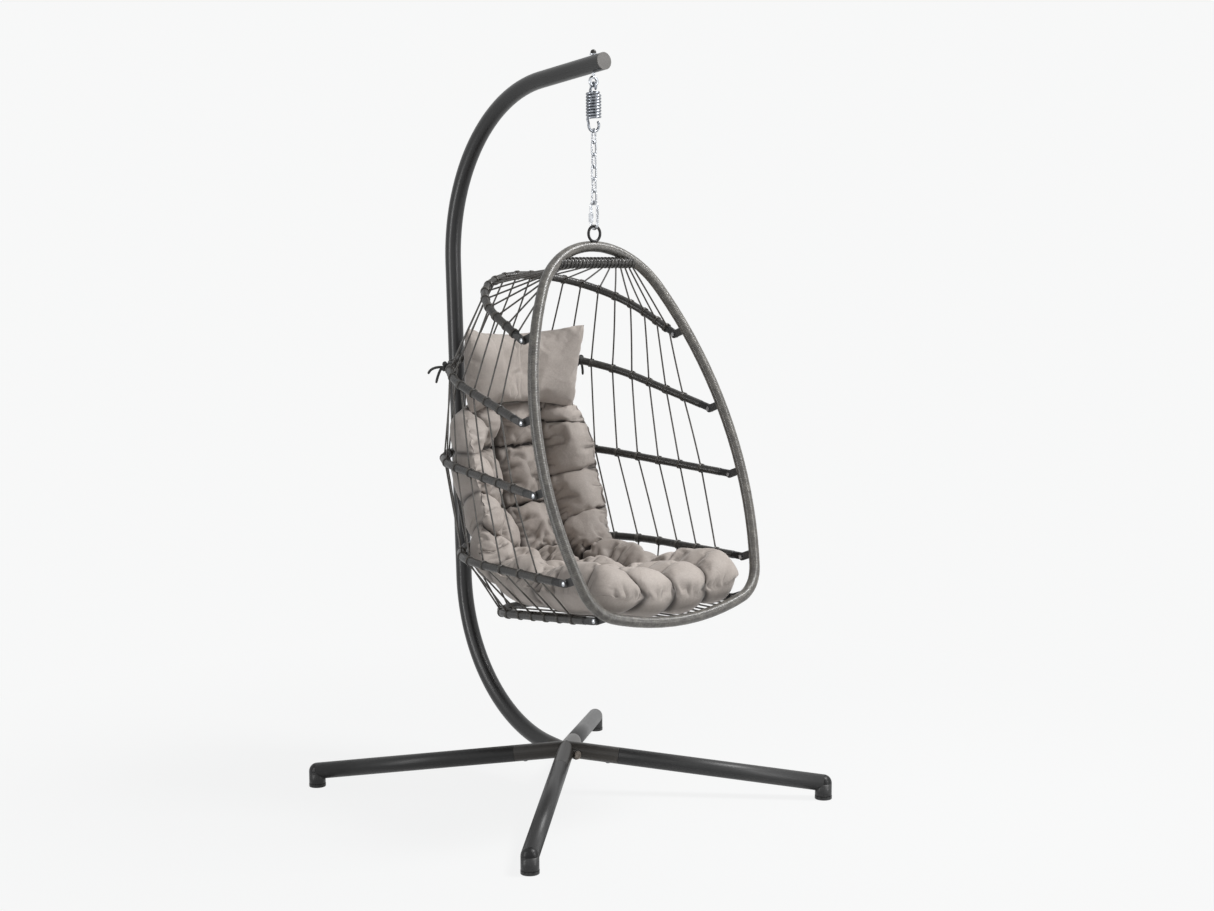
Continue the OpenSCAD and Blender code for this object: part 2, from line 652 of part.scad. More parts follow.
rib_drop = [for (up = [rib_1_up, rib_2_up, rib_3_up, rib_4_up, rib_5_up]) hoop_h - up];
tongue_w = rib_d - 1;
rib_depth = [rib_1_depth, rib_2_depth, rib_3_depth, rib_4_depth, rib_5_depth];
rib_rise = [rib_1_rise, rib_2_rise, rib_3_rise, rib_4_rise, rib_5_rise];
rib_taper = [rib_1_taper, rib_2_taper, rib_3_taper, rib_4_taper, rib_5_taper];
function tab_x(n) = hoop_x(rib_drop[n]);
function rib_x(n) = tab_x(n) + (tab_t + tongue_t) / 2 + tab_gap;
function pivot(n) = behind_hoop(0, -rib_drop[n], pivot_back);
function rear_r(n) = rib_x(n) - rib_taper[n];
// Distance of the rear arc's middle behind the end of the flat ends
function rear_c(n) = rib_depth[n] - rear_r(n) - tongue_l;
function leg_len(n) = sqrt(pow(rib_x(n), 2) + pow(rear_c(n), 2) - pow(rear_r(n), 2));
function leg_heading(n) =
    180 - atan2(rear_c(n), rib_x(n)) - asin(rear_r(n) / norm([rib_x(n), rear_c(n)]));
function rib_half(n) = leg_len(n) + rear_r(n) * (180 - leg_heading(n)) * PI / 180;

// Place [x, y] on a rib's middle line, at a distance from its right-hand flat end
function rib_flat(n, s) =
    s <= leg_len(n) ? [rib_x(n) + s * cos(leg_heading(n)), tongue_l + s * sin(leg_heading(n))]
    : let (a = leg_heading(n) - 90 + (s - leg_len(n)) / rear_r(n) * 180 / PI)
      [rear_r(n) * cos(a), tongue_l + rear_c(n) + rear_r(n) * sin(a)];
function rib_place(n, p) =
    pivot(n) + [p.x, p.y * cos(rib_rise[n]), p.y * sin(rib_rise[n])];

module rib_plane(n) basket() translate(pivot(n)) rotate([rib_rise[n], 0, 0]) children();

// The end of a rib: a flat tongue with a round end, then the tube pressed flat
module rib_end(n) {
    translate([rib_x(n), 0, 0]) rotate([90, 0, 90]) linear_extrude(tongue_t, center = true) {
        circle(d = tongue_w);
        translate([0, -tongue_w / 2]) square([tongue_l, tongue_w]);
    }
    intersection() {
        translate([rib_x(n), tongue_l, 0]) rotate([0, 0, leg_heading(n) - 90]) rotate([-90, 0, 0])
            translate([0, 0, -press_l / 2]) cylinder(h = 1.5 * press_l - bead_gap, d = rib_d);
        translate([rib_x(n), tongue_l, -rib_d]) linear_extrude(2 * rib_d) polygon([
            [0.4 - tongue_t / 2, -2], [tongue_t / 2 - 0.4, -2],
            press_edge(n, 0.6 * rib_d), press_edge(n, -0.6 * rib_d)]);
    }
}
// Corner of the pressed part's outline past the start of the round tube
function press_edge(n, side) =
    let (h = leg_heading(n)) 1.1 * press_l * [cos(h), sin(h)] + side * [sin(h), -cos(h)];

module rib(n) color(RATTAN) rib_plane(n) {
    start = after_step([rib_x(n), tongue_l, leg_heading(n)], [press_l]);
    straight = leg_len(n) - press_l;
    difference() {
        union() {
            bent_bar(start, [[straight], [rear_r(n), 360 - 2 * leg_heading(n)], [straight]],
                rib_d, rib_d - 2 * rib_wall, plugged = true);
            rib_end(n);
            mirror([1, 0, 0]) rib_end(n);
        }
        rotate([0, 90, 0]) cylinder(h = 3 * rib_x(n), d = rib_bolt_d + 0.2, center = true);
    }
}

module rib_1() rib(0);
module rib_2() rib(1);
module rib_3() rib(2);
module rib_4() rib(3);
module rib_5() rib(4);

// Direction of the hoop's tube beside a rib's pivot, in degrees from its width
function tube_dir(n) =
    90 + angle_of([tab_x(n), -rib_drop[n]] - (rib_drop[n] < corner_start_drop ? side_c : corner_c));

// A plate with a round end and a bolt hole, cut to sit on the back of the hoop's tube
module tab(n) translate([tab_x(n), -rib_drop[n], 0]) difference() {
    rotate([0, -90, 0]) linear_extrude(tab_t, center = true) difference() {
        union() {
            translate([-pivot_back, 0]) circle(d = tab_w);
            translate([-pivot_back, -tab_w / 2]) square([pivot_back, tab_w]);
        }
        translate([-pivot_back, 0]) circle(d = rib_bolt_d + bolt_gap);
    }
    rotate([0, 0, tube_dir(n)]) rotate([0, 90, 0]) 
        cylinder(h = 4 * tab_w, d = hoop_d + 2 * weld_gap, center = true);
}

module rib_tabs() color(METAL) basket() hoop_plane()
    for (n = [0 : 4]) for (m = [0, 1]) mirror([m, 0, 0]) tab(n);

bolt_head_h = 3;
bolt_gap = 0.2;
module rib_bolt() {
    inner = tab_t / 2 + bolt_gap;
    outer = inner + tab_gap + tongue_t;
    translate([-inner, 0, 0]) rotate([0, 90, 0]) cylinder(h = inner + outer, d = rib_bolt_d);
    translate([outer, 0, 0]) rotate([0, 90, 0]) intersection() {
        cylinder(h = bolt_head_h, d = 2 * rib_bolt_d);
        translate([0, 0, bolt_head_h - 1.5 * rib_bolt_d]) sphere(r = 1.5 * rib_bolt_d);
    }
}

module each_pivot() for (n = [0 : 4]) for (m = [0, 1]) basket() translate(pivot(n))
    mirror([m, 0, 0]) translate([tab_x(n), 0, 0]) children();

module rib_bolts() color(ZINC) each_pivot() rib_bolt();

module rib_nuts() color(ZINC) each_pivot()
    translate([-tab_t / 2 - bolt_gap, 0, 0]) rotate([0, -90, 0])
        cylinder(h = 0.8 * rib_bolt_d, d = 1.9 * rib_bolt_d, $fn = 6);

// ---- Strands: straight cords from bar to bar, side by side ----

// Distance of the outermost strand from a rib's pivot
outer_strand = [14, 85, 85, 85, 75];
crossbar_strand_w = 116;
seat_strand_w = 190;
function strand_share(j) = j / (strand_pairs - 0.5);
function on_rib(n, j) = rib_place(n, rib_flat(n, strand_s(n, j)));
function on_crossbar(j) = behind_hoop(crossbar_strand_w * (1 - strand_share(j)), -crossbar_drop, 0);
function on_bottom(j) =
    let (x = seat_strand_w * (1 - strand_share(j)))
    behind_hoop(x, bottom_c.y - sqrt(pow(hoop_bottom_r, 2) - x * x), 0);

// How far a strand's end stands off a bar's middle line, when it meets the bar at an angle.
// A curved bar has two directions, one on each side of the place where the strand meets it.
function stand_off(bar_d, along, dir) = strand_gap + max([for (one = along)
    let (s = norm(cross(unit(one), dir))) (bar_d / 2 + strand_d * sqrt(1 - s * s) / 2) / s]);

module strand(a, b, a_bar, a_along, b_bar, b_along) {
    dir = unit(b - a);
    p = a + dir * stand_off(a_bar, a_along, dir);
    l = norm(b - a) - stand_off(a_bar, a_along, dir) - stand_off(b_bar, b_along, dir);
    translate(p) rotate([0, acos(dir.z), atan2(dir.y, dir.x)]) cylinder(h = l, d = strand_d, $fn = 24);
}

function strand_s(n, j) = outer_strand[n] + (rib_half(n) - outer_strand[n]) * strand_share(j);
function rib_along(n, j) = [for (side = [-2 * rib_d, 2 * rib_d]) let (s = strand_s(n, j))
    (rib_place(n, rib_flat(n, s + side)) - rib_place(n, rib_flat(n, s))) * side];

module both_sides() basket() for (m = [0, 1]) mirror([m, 0, 0]) children();

module strands_top() color(RATTAN) both_sides() for (j = [0 : strand_pairs - 1])
    strand(on_crossbar(j), on_rib(0, j), crossbar_d, [[1, 0, 0]], rib_d, rib_along(0, j));

module strands_between(n) color(RATTAN) both_sides() for (j = [0 : strand_pairs - 1])
    strand(on_rib(n, j), on_rib(n + 1, j), rib_d, rib_along(n, j), rib_d, rib_along(n + 1, j));

module strands_1_2() strands_between(0);
module strands_2_3() strands_between(1);
module strands_3_4() strands_between(2);
module strands_4_5() strands_between(3);

module strands_seat() color(RATTAN) both_sides() for (j = [0 : strand_pairs - 1])
    strand(on_rib(4, j), on_bottom(j), rib_d, rib_along(4, j), hoop_d, [[1, 0, 0]]);

// ---- Cushion: a tufted pad that runs from the seat's front up the back ----

// The middle line of the pad in the plane X = 0, as [y, z] in the basket's frame. It lies on
// the hoop's bottom and inside the rears of the ribs.
function side_of(p) = [p.y, p.z];
function rib_rear(n) = side_of(rib_place(n, [0, rib_depth[n]]));
hoop_low = side_of(behind_hoop(0, -hoop_h, 0));
seat_line = [hoop_low + [14, 60], hoop_low + [190, 41], rib_rear(4) + [-230, 55], rib_rear(4) + [-94, 84]];
back_line = [seat_line[3], rib_rear(3) + [-54, -60], rib_rear(2) + [-11, -65], rib_rear(1) + [-25, -123]];
SEAT_SHARE = 0.42;
function mid_line(t) =
    t < SEAT_SHARE
    ? bezier(seat_line[0], seat_line[1], seat_line[2], seat_line[3], t / SEAT_SHARE)
    : bezier(back_line[0], back_line[1], back_line[2], back_line[3], (t - SEAT_SHARE) / (1 - SEAT_SHARE));
function mid_dir(t) = unit(mid_line(min(t + 0.01, 1)) - mid_line(max(t - 0.01, 0)));
function rising(t, from, to) = smooth(min(max((t - from) / (to - from), 0), 1));
LINE_STEPS = 40;
pad_l = let (steps = [for (i = [1 : LINE_STEPS]) norm(mid_line(i / LINE_STEPS) - mid_line((i - 1) / LINE_STEPS))])
    steps * [for (one = steps) 1];
// The pad has round shoulders, bends less across the seat than across the back, and lies a
// little to the left of the basket's middle
shoulder = 120;
seat_bend_r = 1000;
back_bend_r = 240;
seat_slide = -12;
back_slide = -30;
function pad_half_w(t) = seat_half_w + (back_half_w - seat_half_w) * rising(t, 0.36, 0.7)
    - shoulder * rising(t, 0.86, 1.16);
function pad_r(t) = seat_bend_r + (back_bend_r - seat_bend_r) * pow(rising(t, 0.15, 0.6), 0.6);
function pad_slide(t) = seat_slide + (back_slide - seat_slide) * rising(t, 0.3, 0.6);
function pad_mid(s, t) =
    let (c = mid_line(t), d = mid_dir(t), r = pad_r(t), a = (s * pad_half_w(t) + pad_slide(t)) / r * 180 / PI)
    [r * sin(a), c.x - d.y * r * (1 - cos(a)), c.y + d.x * r * (1 - cos(a))];
function pad_normal(s, t) =
    let (e = 0.01, du = pad_mid(s + e, t) - pad_mid(s - e, t),
         dv = pad_mid(s, min(t + e, 1)) - pad_mid(s, max(t - e, 0)))
    unit(cross(du, dv));
// Tufts: puffs between sewn channels. The front roll is a row and a quarter long and has no
// channel round its nose. A pad's rim is round.
FRONT_ROLL = 0.75;
rim_r = 46;
function tuft(x) = pow(abs(sin(180 * x)), 0.5);
function round_rim(distance) = let (x = min(distance / rim_r, 1)) sqrt(1 - pow(1 - x, 2));
function pad_half_t(s, t) =
    let (full = (seat_t + (back_t - seat_t) * rising(t, 0.3, 0.6)) / 2,
         puff = tuft((s + 1) / 2 * tuft_cols) * tuft(max(t * tuft_rows + FRONT_ROLL, 1.5)),
         rim = round_rim((1 - abs(s)) * pad_half_w(t)) * round_rim(min(t, 1 - t) * pad_l))
    full * (1 - channel_share + channel_share * puff) * rim;

CELLS_COL = 4;
CELLS_ROW = 4;
// The pad's underside and rear are pressed flatter than its front
rear_share = 0.8;

// Even steps from 0 to 1 with one more just inside each end, for a round rim
function pad_steps(n, end) = [0, end, for (i = [1 : n - 1]) i / n, 1 - end, 1];

// A closed pad from a middle surface: front and back skins that share their rim
module pad(across, along, mid, normal, half_t) {
    cols = len(across) - 1;
    rows = len(along) - 1;
    w = cols + 1;
    rim = function (i, j) i == 0 || i == cols || j == 0 || j == rows;
    skin = function (side) [for (t = along) for (share = across)
        let (s = 2 * share - 1)
        mid(s, t) + side * half_t(s, t) * normal(s, t)];
    n = w * (rows + 1);
    back = function (i, j) rim(i, j) ? j * w + i : n + j * w + i;
    // Each cell's diagonal runs away from the nearest corner, so that no cell is flat there
    faces = [for (j = [0 : rows - 1]) for (i = [0 : cols - 1])
        let (a = j * w + i, b = a + 1, c = a + w, d = c + 1,
             e = back(i, j), f = back(i + 1, j), g = back(i, j + 1), h = back(i + 1, j + 1)) each
        (2 * i < cols) == (2 * j < rows)
        ? [[a, c, d], [a, d, b], [e, h, g], [e, f, h]]
        : [[a, c, b], [b, c, d], [e, f, g], [f, h, g]]];
    polyhedron(concat(skin(1), skin(-rear_share)), faces);
}

module cushion() color(CLOTH) basket()
    pad(pad_steps(tuft_cols * CELLS_COL, 0.018), pad_steps(tuft_rows * CELLS_ROW, 0.011),
        function (s, t) pad_mid(s, t), function (s, t) pad_normal(s, t), function (s, t) pad_half_t(s, t));

// The pillow's middle as [y, z] in the basket's frame, its lean, the radius it is bent to and
// how far it lies to the left. It stands on the cushion's top and widens upwards.
pillow_at = rib_rear(1) + [-66, -40];
pillow_lean = -2;
pillow_r = 310;
pillow_slide = 4;
PILLOW_COLS = 12;
PILLOW_ROWS = 8;
function pillow_angle(s, t) = (s * pillow_w / 2 * (0.92 + 0.14 * t) + pillow_slide) / pillow_r * 180 / PI;
function pillow_mid(s, t) =
    let (a = pillow_angle(s, t), up = (t - 0.5) * pillow_h * (1 - 0.12 * (1 - s * s)) * (1 + 0.09 * abs(s)))
    [pillow_r * sin(a), pillow_at.x + up * tan(pillow_lean) - pillow_r * (1 - cos(a)), pillow_at.y + up];
function pillow_normal(s, t) = let (a = pillow_angle(s, t)) unit([-sin(a), -cos(a), sin(pillow_lean)]);
function pillow_half_t(s, t) = pillow_t / 2 * pow((1 - pow(s, 4)) * (1 - pow(2 * t - 1, 4)), 0.5);

module pillow() color(CLOTH) basket()
    pad(pad_steps(PILLOW_COLS, 0.02), pad_steps(PILLOW_ROWS, 0.03),
        function (s, t) pillow_mid(s, t), function (s, t) pillow_normal(s, t), function (s, t) pillow_half_t(s, t));

// Each tie is knotted round rib 2, between two strands
tie_strand = 5;
tie_place = (strand_s(1, tie_strand) + strand_s(1, tie_strand + 1)) / 2;
tie_w = 14;
tie_t = 2.5;
tie_gap = 0.2;
tie_knot_d = 12;
tie_tail_d = 5;
tie_tail_l = 45;
module tie() {
    p = rib_flat(1, tie_place);
    q = rib_flat(1, tie_place + 1);
    translate([p.x, p.y, 0]) rotate([90, 0, angle_of(q - p) - 90]) {
        difference() {
            cylinder(h = tie_w, d = rib_d + 2 * tie_t, center = true);
            cylinder(h = tie_w + 2, d = rib_d + 2 * tie_gap, center = true);
        }
        translate([rib_d / 2 + tie_t + 0.4 * tie_knot_d, 0, 0]) {
            cylinder(h = tie_w - 4, d = tie_knot_d, center = true);
            rotate([0, 60, 20]) cylinder(h = tie_tail_l, d = tie_tail_d, $fn = 24);
        }
    }
}
module cushion_ties() color(RATTAN) rib_plane(1) for (m = [0, 1]) mirror([m, 0, 0]) tie();

echo(hang = [hang_y, arm_z, eye_z], spring = [spring_top_z, coil_top_z, coil_low_z, spring_low_z],
    links = [for (n = [1 : LINKS]) link_z(n)], quick = [quick_top_z, quick_low_z],
    eye = [hang_eye_top_z, hang_eye_z], hoop_top = hoop_top_z, sleeve = sleeve_z);
echo(pivots = [for (n = [0 : 4]) pivot(n)], rib_x = [for (n = [0 : 4]) rib_x(n)]);

hub();
leg_front_left();
leg_front_right();
leg_rear_left();
leg_rear_right();
foot_caps();
leg_screws();
mast_lower();
mast_upper();
mast_bolt();
mast_screws();
arm_cap();
eyebolt();
eyebolt_washer();
eyebolt_nut();
spring();
link_1();
link_2();
link_3();
link_4();
link_5();
link_6();
quick_link();
sleeve_nut();
hoop();
hang_eye();
crossbar();
rib_tabs();
rib_bolts();
rib_nuts();
rib_1();
rib_2();
rib_3();
rib_4();
rib_5();
strands_top();
strands_1_2();
strands_2_3();
strands_3_4();
strands_4_5();
strands_seat();
cushion();
pillow();
cushion_ties();
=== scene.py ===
"""Looks of the hanging egg chair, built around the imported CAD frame."""
import json
import math

import bpy
import numpy as np
from mathutils import Matrix, Vector


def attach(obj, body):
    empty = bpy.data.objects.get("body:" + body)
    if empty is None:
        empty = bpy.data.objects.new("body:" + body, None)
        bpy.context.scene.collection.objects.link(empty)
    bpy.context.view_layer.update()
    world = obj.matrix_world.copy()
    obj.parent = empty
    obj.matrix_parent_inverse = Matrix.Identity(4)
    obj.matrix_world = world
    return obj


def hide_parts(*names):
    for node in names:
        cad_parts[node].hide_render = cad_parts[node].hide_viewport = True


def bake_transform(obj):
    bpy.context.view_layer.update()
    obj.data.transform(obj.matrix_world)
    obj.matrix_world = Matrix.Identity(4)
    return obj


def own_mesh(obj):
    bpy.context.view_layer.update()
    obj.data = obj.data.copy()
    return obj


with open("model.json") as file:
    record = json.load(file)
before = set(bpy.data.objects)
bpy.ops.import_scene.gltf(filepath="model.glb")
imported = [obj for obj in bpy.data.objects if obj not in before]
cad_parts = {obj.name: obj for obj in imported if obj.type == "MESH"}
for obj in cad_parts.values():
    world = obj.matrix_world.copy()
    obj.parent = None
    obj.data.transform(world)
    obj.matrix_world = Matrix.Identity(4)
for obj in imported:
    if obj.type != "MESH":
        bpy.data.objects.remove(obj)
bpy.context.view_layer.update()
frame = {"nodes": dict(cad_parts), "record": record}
scene = bpy.context.scene
rng = np.random.default_rng(7)

# ---- Camera, fitted to the photograph's 1214 x 911 frame ----

SENSOR_MM = 36.0
IMAGE_W = 1214
FOCAL_PX = 1901.9
AZIMUTH, PITCH, ROLL = (math.radians(a) for a in (-38.96, 5.86, -0.28))
CAMERA_AT = (-3.026, -3.919, 1.409)


def make_camera():
    data = bpy.data.cameras.new("camera")
    data.sensor_width = SENSOR_MM
    data.lens = FOCAL_PX / IMAGE_W * SENSOR_MM
    data.clip_start, data.clip_end = 0.05, 100
    cam = bpy.data.objects.new("camera", data)
    scene.collection.objects.link(cam)
    back = Vector((math.sin(AZIMUTH) * math.cos(PITCH), -math.cos(AZIMUTH) * math.cos(PITCH), math.sin(PITCH)))
    right = Vector((math.cos(AZIMUTH), math.sin(AZIMUTH), 0))
    up = back.cross(right)
    c, s = math.cos(ROLL), math.sin(ROLL)
    placed = Matrix((c * right + s * up, c * up - s * right, back)).transposed().to_4x4()
    placed.translation = CAMERA_AT
    cam.matrix_world = placed
    scene.camera = cam


make_camera()
scene.view_settings.view_transform = "Standard"

# ---- Node helpers ----

MIX_FACTOR, MIX_A, MIX_B, MIX_RESULT = 0, 6, 7, 2  # sockets of a Mix node in RGBA mode


def srgb(r, g, b):
    """Linear colour of an 8-bit sRGB one."""
    def one(v):
        v /= 255
        return v / 12.92 if v <= 0.04045 else ((v + 0.055) / 1.055) ** 2.4
    return (one(r), one(g), one(b), 1.0)


class Nodes:
    """A material's node tree, with short ways to add and link nodes."""

    def __init__(self, material):
        material.use_nodes = True
        self.tree = material.node_tree
        self.tree.nodes.clear()

    def add(self, kind, inputs=(), **props):
        node = self.tree.nodes.new("ShaderNode" + kind)
        for key, value in props.items():
            setattr(node, key, value)
        for key, value in dict(inputs).items():
            if isinstance(value, bpy.types.NodeSocket):
                self.tree.links.new(value, node.inputs[key])
            else:
                node.inputs[key].default_value = value
        return node

    def math(self, operation, a, b):
        return self.add("Math", {0: a, 1: b}, operation=operation).outputs[0]

    def blend(self, a, share, b):
        """share of a and the rest of b."""
        return self.math("ADD", self.math("MULTIPLY", a, share), self.math("MULTIPLY", b, 1 - share))

    def scaled(self, value, factor, offset):
        return self.math("ADD", self.math("MULTIPLY", value, factor), offset)

    def ramp(self, value, stops):
        node = self.add("ValToRGB", {"Fac": value})
        ramp = node.color_ramp
        while len(ramp.elements) < len(stops):
            ramp.elements.new(0.5)
        for element, (at, colour) in zip(ramp.elements, stops):
            element.position = at
            element.color = colour
        return node.outputs["Color"]

    def noise(self, vector, scale, detail=3.0, roughness=0.55):
        return self.add("TexNoise", {"Vector": vector, "Scale": scale, "Detail": detail,
                                     "Roughness": roughness}).outputs["Fac"]

    def mix(self, factor, a, b):
        return self.add("Mix", {MIX_FACTOR: factor, MIX_A: a, MIX_B: b}, data_type="RGBA").outputs[MIX_RESULT]

    def tint(self, colour, mask, share, towards):
        return self.mix(self.math("MULTIPLY", mask, share), colour, towards)

    def pointiness(self, none_at, full_at):
        """0 to 1: how far a surface point is an edge (full_at above 0.5) or a crease (below 0.5)."""
        stops = sorted(((none_at, grey(0)), (full_at, grey(1))))
        return self.ramp(self.add("NewGeometry").outputs["Pointiness"], stops)

    def place(self):
        return self.add("TexCoord").outputs["Object"]

    def bump(self, height, distance, strength=1.0, normal=None):
        node = self.add("Bump", {"Height": height, "Distance": distance, "Strength": strength})
        if normal is not None:
            self.tree.links.new(normal, node.inputs["Normal"])
        return node.outputs["Normal"]

    def finish(self, **sockets):
        shader = self.add("BsdfPrincipled", {k.replace("_", " "): v for k, v in sockets.items()})
        self.add("OutputMaterial", {"Surface": shader.outputs[0]})


def new_material(name):
    material = bpy.data.materials.new(name)
    return material, Nodes(material)


def grey(v):
    return (v, v, v, 1.0)


def powder_coat(name, dark, light, rough, shine=0.3):
    """Satin powder coat: a fine orange peel, a little dust and small rubs on the edges."""
    material, n = new_material(name)
    where = n.place()
    broad = n.noise(where, 6.0, 4.0)
    speckle = n.noise(where, 900.0, 2.0)
    colour = n.ramp(n.blend(broad, 0.7, speckle), ((0.35, dark), (0.65, light)))
    colour = n.tint(colour, n.pointiness(0.53, 0.6), 0.3, srgb(118, 118, 118))
    roughness = n.scaled(broad, 0.16, rough - 0.08)
    normal = n.bump(n.noise(where, 420.0, 3.0), 0.00024, 0.25)
    n.finish(Base_Color=colour, Roughness=roughness, Normal=normal, Specular_IOR_Level=shine)
    return material


def bright_zinc(name, dark, light):
    """Zinc plate: bright, with a faint cloudy spangle, and painted shade that darkens its creases."""
    material, n = new_material(name)
    where = n.place()
    cloudy = n.noise(where, 160.0, 4.0)
    colour = n.ramp(cloudy, ((0.3, dark), (0.7, light)))
    # Painted shade: the creases are darkened.
    colour = n.tint(colour, n.pointiness(0.49, 0.42), 0.5, srgb(84, 82, 80))
    roughness = n.scaled(cloudy, 0.22, 0.16)
    normal = n.bump(n.noise(where, 700.0, 2.0), 0.0001, 0.3)
    n.finish(Base_Color=colour, Roughness=roughness, Normal=normal, Metallic=1.0)
    return material


def rattan(name, dark, mid, light, scale, rough):
    """Flat plastic rattan: fine streaks over broader patches of darker and lighter tone, and painted shade in the
    grooves.
    """
    material, n = new_material(name)
    where = n.place()
    streaks = n.noise(where, 260.0 * scale, 4.0, 0.65)
    patches = n.noise(where, 38.0 * scale, 3.0)
    colour = n.ramp(n.blend(streaks, 0.55, patches), ((0.3, dark), (0.5, mid), (0.72, light)))
    # Painted shade: the grooves between the turns are darkened.
    colour = n.tint(colour, n.pointiness(0.5, 0.44), 0.75, srgb(28, 26, 24))
    roughness = n.scaled(streaks, 0.2, rough - 0.1)
    normal = n.bump(streaks, 0.0002, 0.4)
    n.finish(Base_Color=colour, Roughness=roughness, Normal=normal, Specular_IOR_Level=0.5)
    return material


# Painted shade: the cushion's cloth is darkened where this attribute is high.
SEAM_SHADE = "seam"  # mesh attribute of the cushion, 1 on its sewn lines


def woven_cloth(name, dark, mid, light):
    """Polyester cover: a fine plain weave, soft small creases, a faint satin sheen, and painted shade in its creases
    and along its seam channels.
    """
    material, n = new_material(name)
    where = n.place()
    threads = [n.add("TexWave", {"Vector": where, "Scale": 640.0, "Distortion": 0.6, "Detail": 1.0},
                     bands_direction=d).outputs["Fac"] for d in ("DIAGONAL", "Z")]
    weave = n.math("MULTIPLY", threads[0], threads[1])
    broad = n.noise(where, 7.0, 3.0)
    slub = n.noise(where, 210.0, 3.0, 0.7)
    colour = n.ramp(n.blend(broad, 0.6, slub), ((0.3, dark), (0.5, mid), (0.7, light)))
    colour = n.tint(colour, weave, 0.12, dark)
    # Painted shade: the cloth's creases are darkened.
    colour = n.tint(colour, n.pointiness(0.492, 0.44), 0.85, srgb(50, 45, 41))
    # Painted shade along the seams, where the cover dips into channels between its puffs.
    seam = n.add("Attribute", attribute_name=SEAM_SHADE).outputs["Fac"]
    colour = n.tint(colour, seam, 0.92, srgb(44, 39, 36))
    creases = n.add("TexNoise", {"Vector": where, "Scale": 17.0, "Detail": 4.0, "Roughness": 0.5,
                                 "Distortion": 1.2}).outputs["Fac"]
    normal = n.bump(creases, 0.005, 0.6)
    normal = n.bump(weave, 0.00015, 0.25, normal)
    n.finish(Base_Color=colour, Roughness=0.62, Normal=normal, Specular_IOR_Level=0.35,
             Sheen_Weight=0.18, Sheen_Roughness=0.4)
    return material


STEEL = powder_coat("powder_coat", srgb(22, 22, 23), srgb(32, 32, 33), 0.34, shine=0.45)
# The legs get a darker, duller copy of the stand's coat. Its darker colour is painted shade, which keeps their upward
# faces, that reflect the white surroundings, from looking paler than the mast.
LEG_STEEL = powder_coat("leg_coat", srgb(16, 16, 17), srgb(26, 26, 27), 0.4, shine=0.28)
HUB_STEEL = powder_coat("hub_coat", srgb(50, 47, 44), srgb(74, 70, 65), 0.36)
CAP_PLASTIC = powder_coat("cap_plastic", srgb(14, 14, 15), srgb(24, 24, 25), 0.4)
ARM_CAP = powder_coat("arm_cap_grey", srgb(78, 75, 71), srgb(106, 102, 98), 0.42)
DARK_NUT = powder_coat("dark_nut", srgb(44, 42, 41), srgb(62, 60, 58), 0.3)
BASKET_STEEL = powder_coat("basket_steel", srgb(18, 18, 18), srgb(30, 30, 30), 0.38)
ZINC = bright_zinc("zinc", srgb(150, 153, 158), srgb(196, 199, 203))
# The spring gets a darker copy of the chain's zinc: painted shade that stands in for the darker reflections in its
# coils.
SPRING_ZINC = bright_zinc("spring_zinc", srgb(84, 88, 94), srgb(158, 162, 168))
DULL_ZINC = bright_zinc("dull_zinc", srgb(84, 78, 73), srgb(124, 117, 110))
HOOP_RATTAN = rattan("rattan_hoop", srgb(60, 58, 55), srgb(102, 99, 94), srgb(152, 148, 140), 1.6, 0.3)
RIB_RATTAN = rattan("rattan_rib", srgb(18, 17, 16), srgb(38, 36, 33), srgb(80, 77, 70), 1.2, 0.32)
STRAND = rattan("rattan_strand", srgb(44, 41, 37), srgb(66, 62, 57), srgb(98, 94, 87), 1.6, 0.34)
CLOTH = woven_cloth("cushion_cloth", srgb(160, 151, 144), srgb(175, 166, 159), srgb(191, 182, 175))
TIE = rattan("tie_tape", srgb(20, 20, 20), srgb(30, 30, 30), srgb(44, 44, 44), 2.0, 0.7)

# ---- Meshes ----

MM = 0.001


class Shell:
    """Grids of points joined into one mesh. A grid's rows follow a path and its columns go round it."""

    def __init__(self):
        self.points, self.quads, self.caps, self.count = [], [], [], 0

    def add(self, grid, closed=False):
        rows, sides = grid.shape[:2]
        index = self.count + np.arange(rows * sides).reshape(rows, sides)
        if closed:
            index = np.vstack([index, index[:1]])
        turn = np.roll(index, -1, axis=1)
        self.quads.append(np.stack([index[:-1], turn[:-1], turn[1:], index[1:]], -1).reshape(-1, 4))
        if not closed:
            self.caps += [index[0][::-1], index[-1]]
        self.points.append(grid.reshape(-1, 3))
        self.count += rows * sides

    def object(self, name, material, slot):
        quads = np.concatenate(self.quads)
        mesh = bpy.data.meshes.new(name)
        mesh.vertices.add(self.count)
        mesh.vertices.foreach_set("co", (np.concatenate(self.points) * MM).astype(np.float32).ravel())
        loops = np.concatenate([quads.ravel(), *self.caps]) if self.caps else quads.ravel()
        totals = np.array([4] * len(quads) + [len(c) for c in self.caps])
        mesh.loops.add(len(loops))
        mesh.loops.foreach_set("vertex_index", loops.astype(np.int32))
        mesh.polygons.add(len(totals))
        mesh.polygons.foreach_set("loop_start", (np.cumsum(totals) - totals).astype(np.int32))
        mesh.polygons.foreach_set("loop_total", totals.astype(np.int32))
        mesh.polygons.foreach_set("use_smooth", np.ones(len(totals), bool))
        mesh.update(calc_edges=True)
        mesh.validate()
        mesh.materials.append(material)
        obj = bpy.data.objects.new(name, mesh)
        scene.collection.objects.link(obj)
        return obj


def unit(v):
    return v / np.linalg.norm(v, axis=-1, keepdims=True)


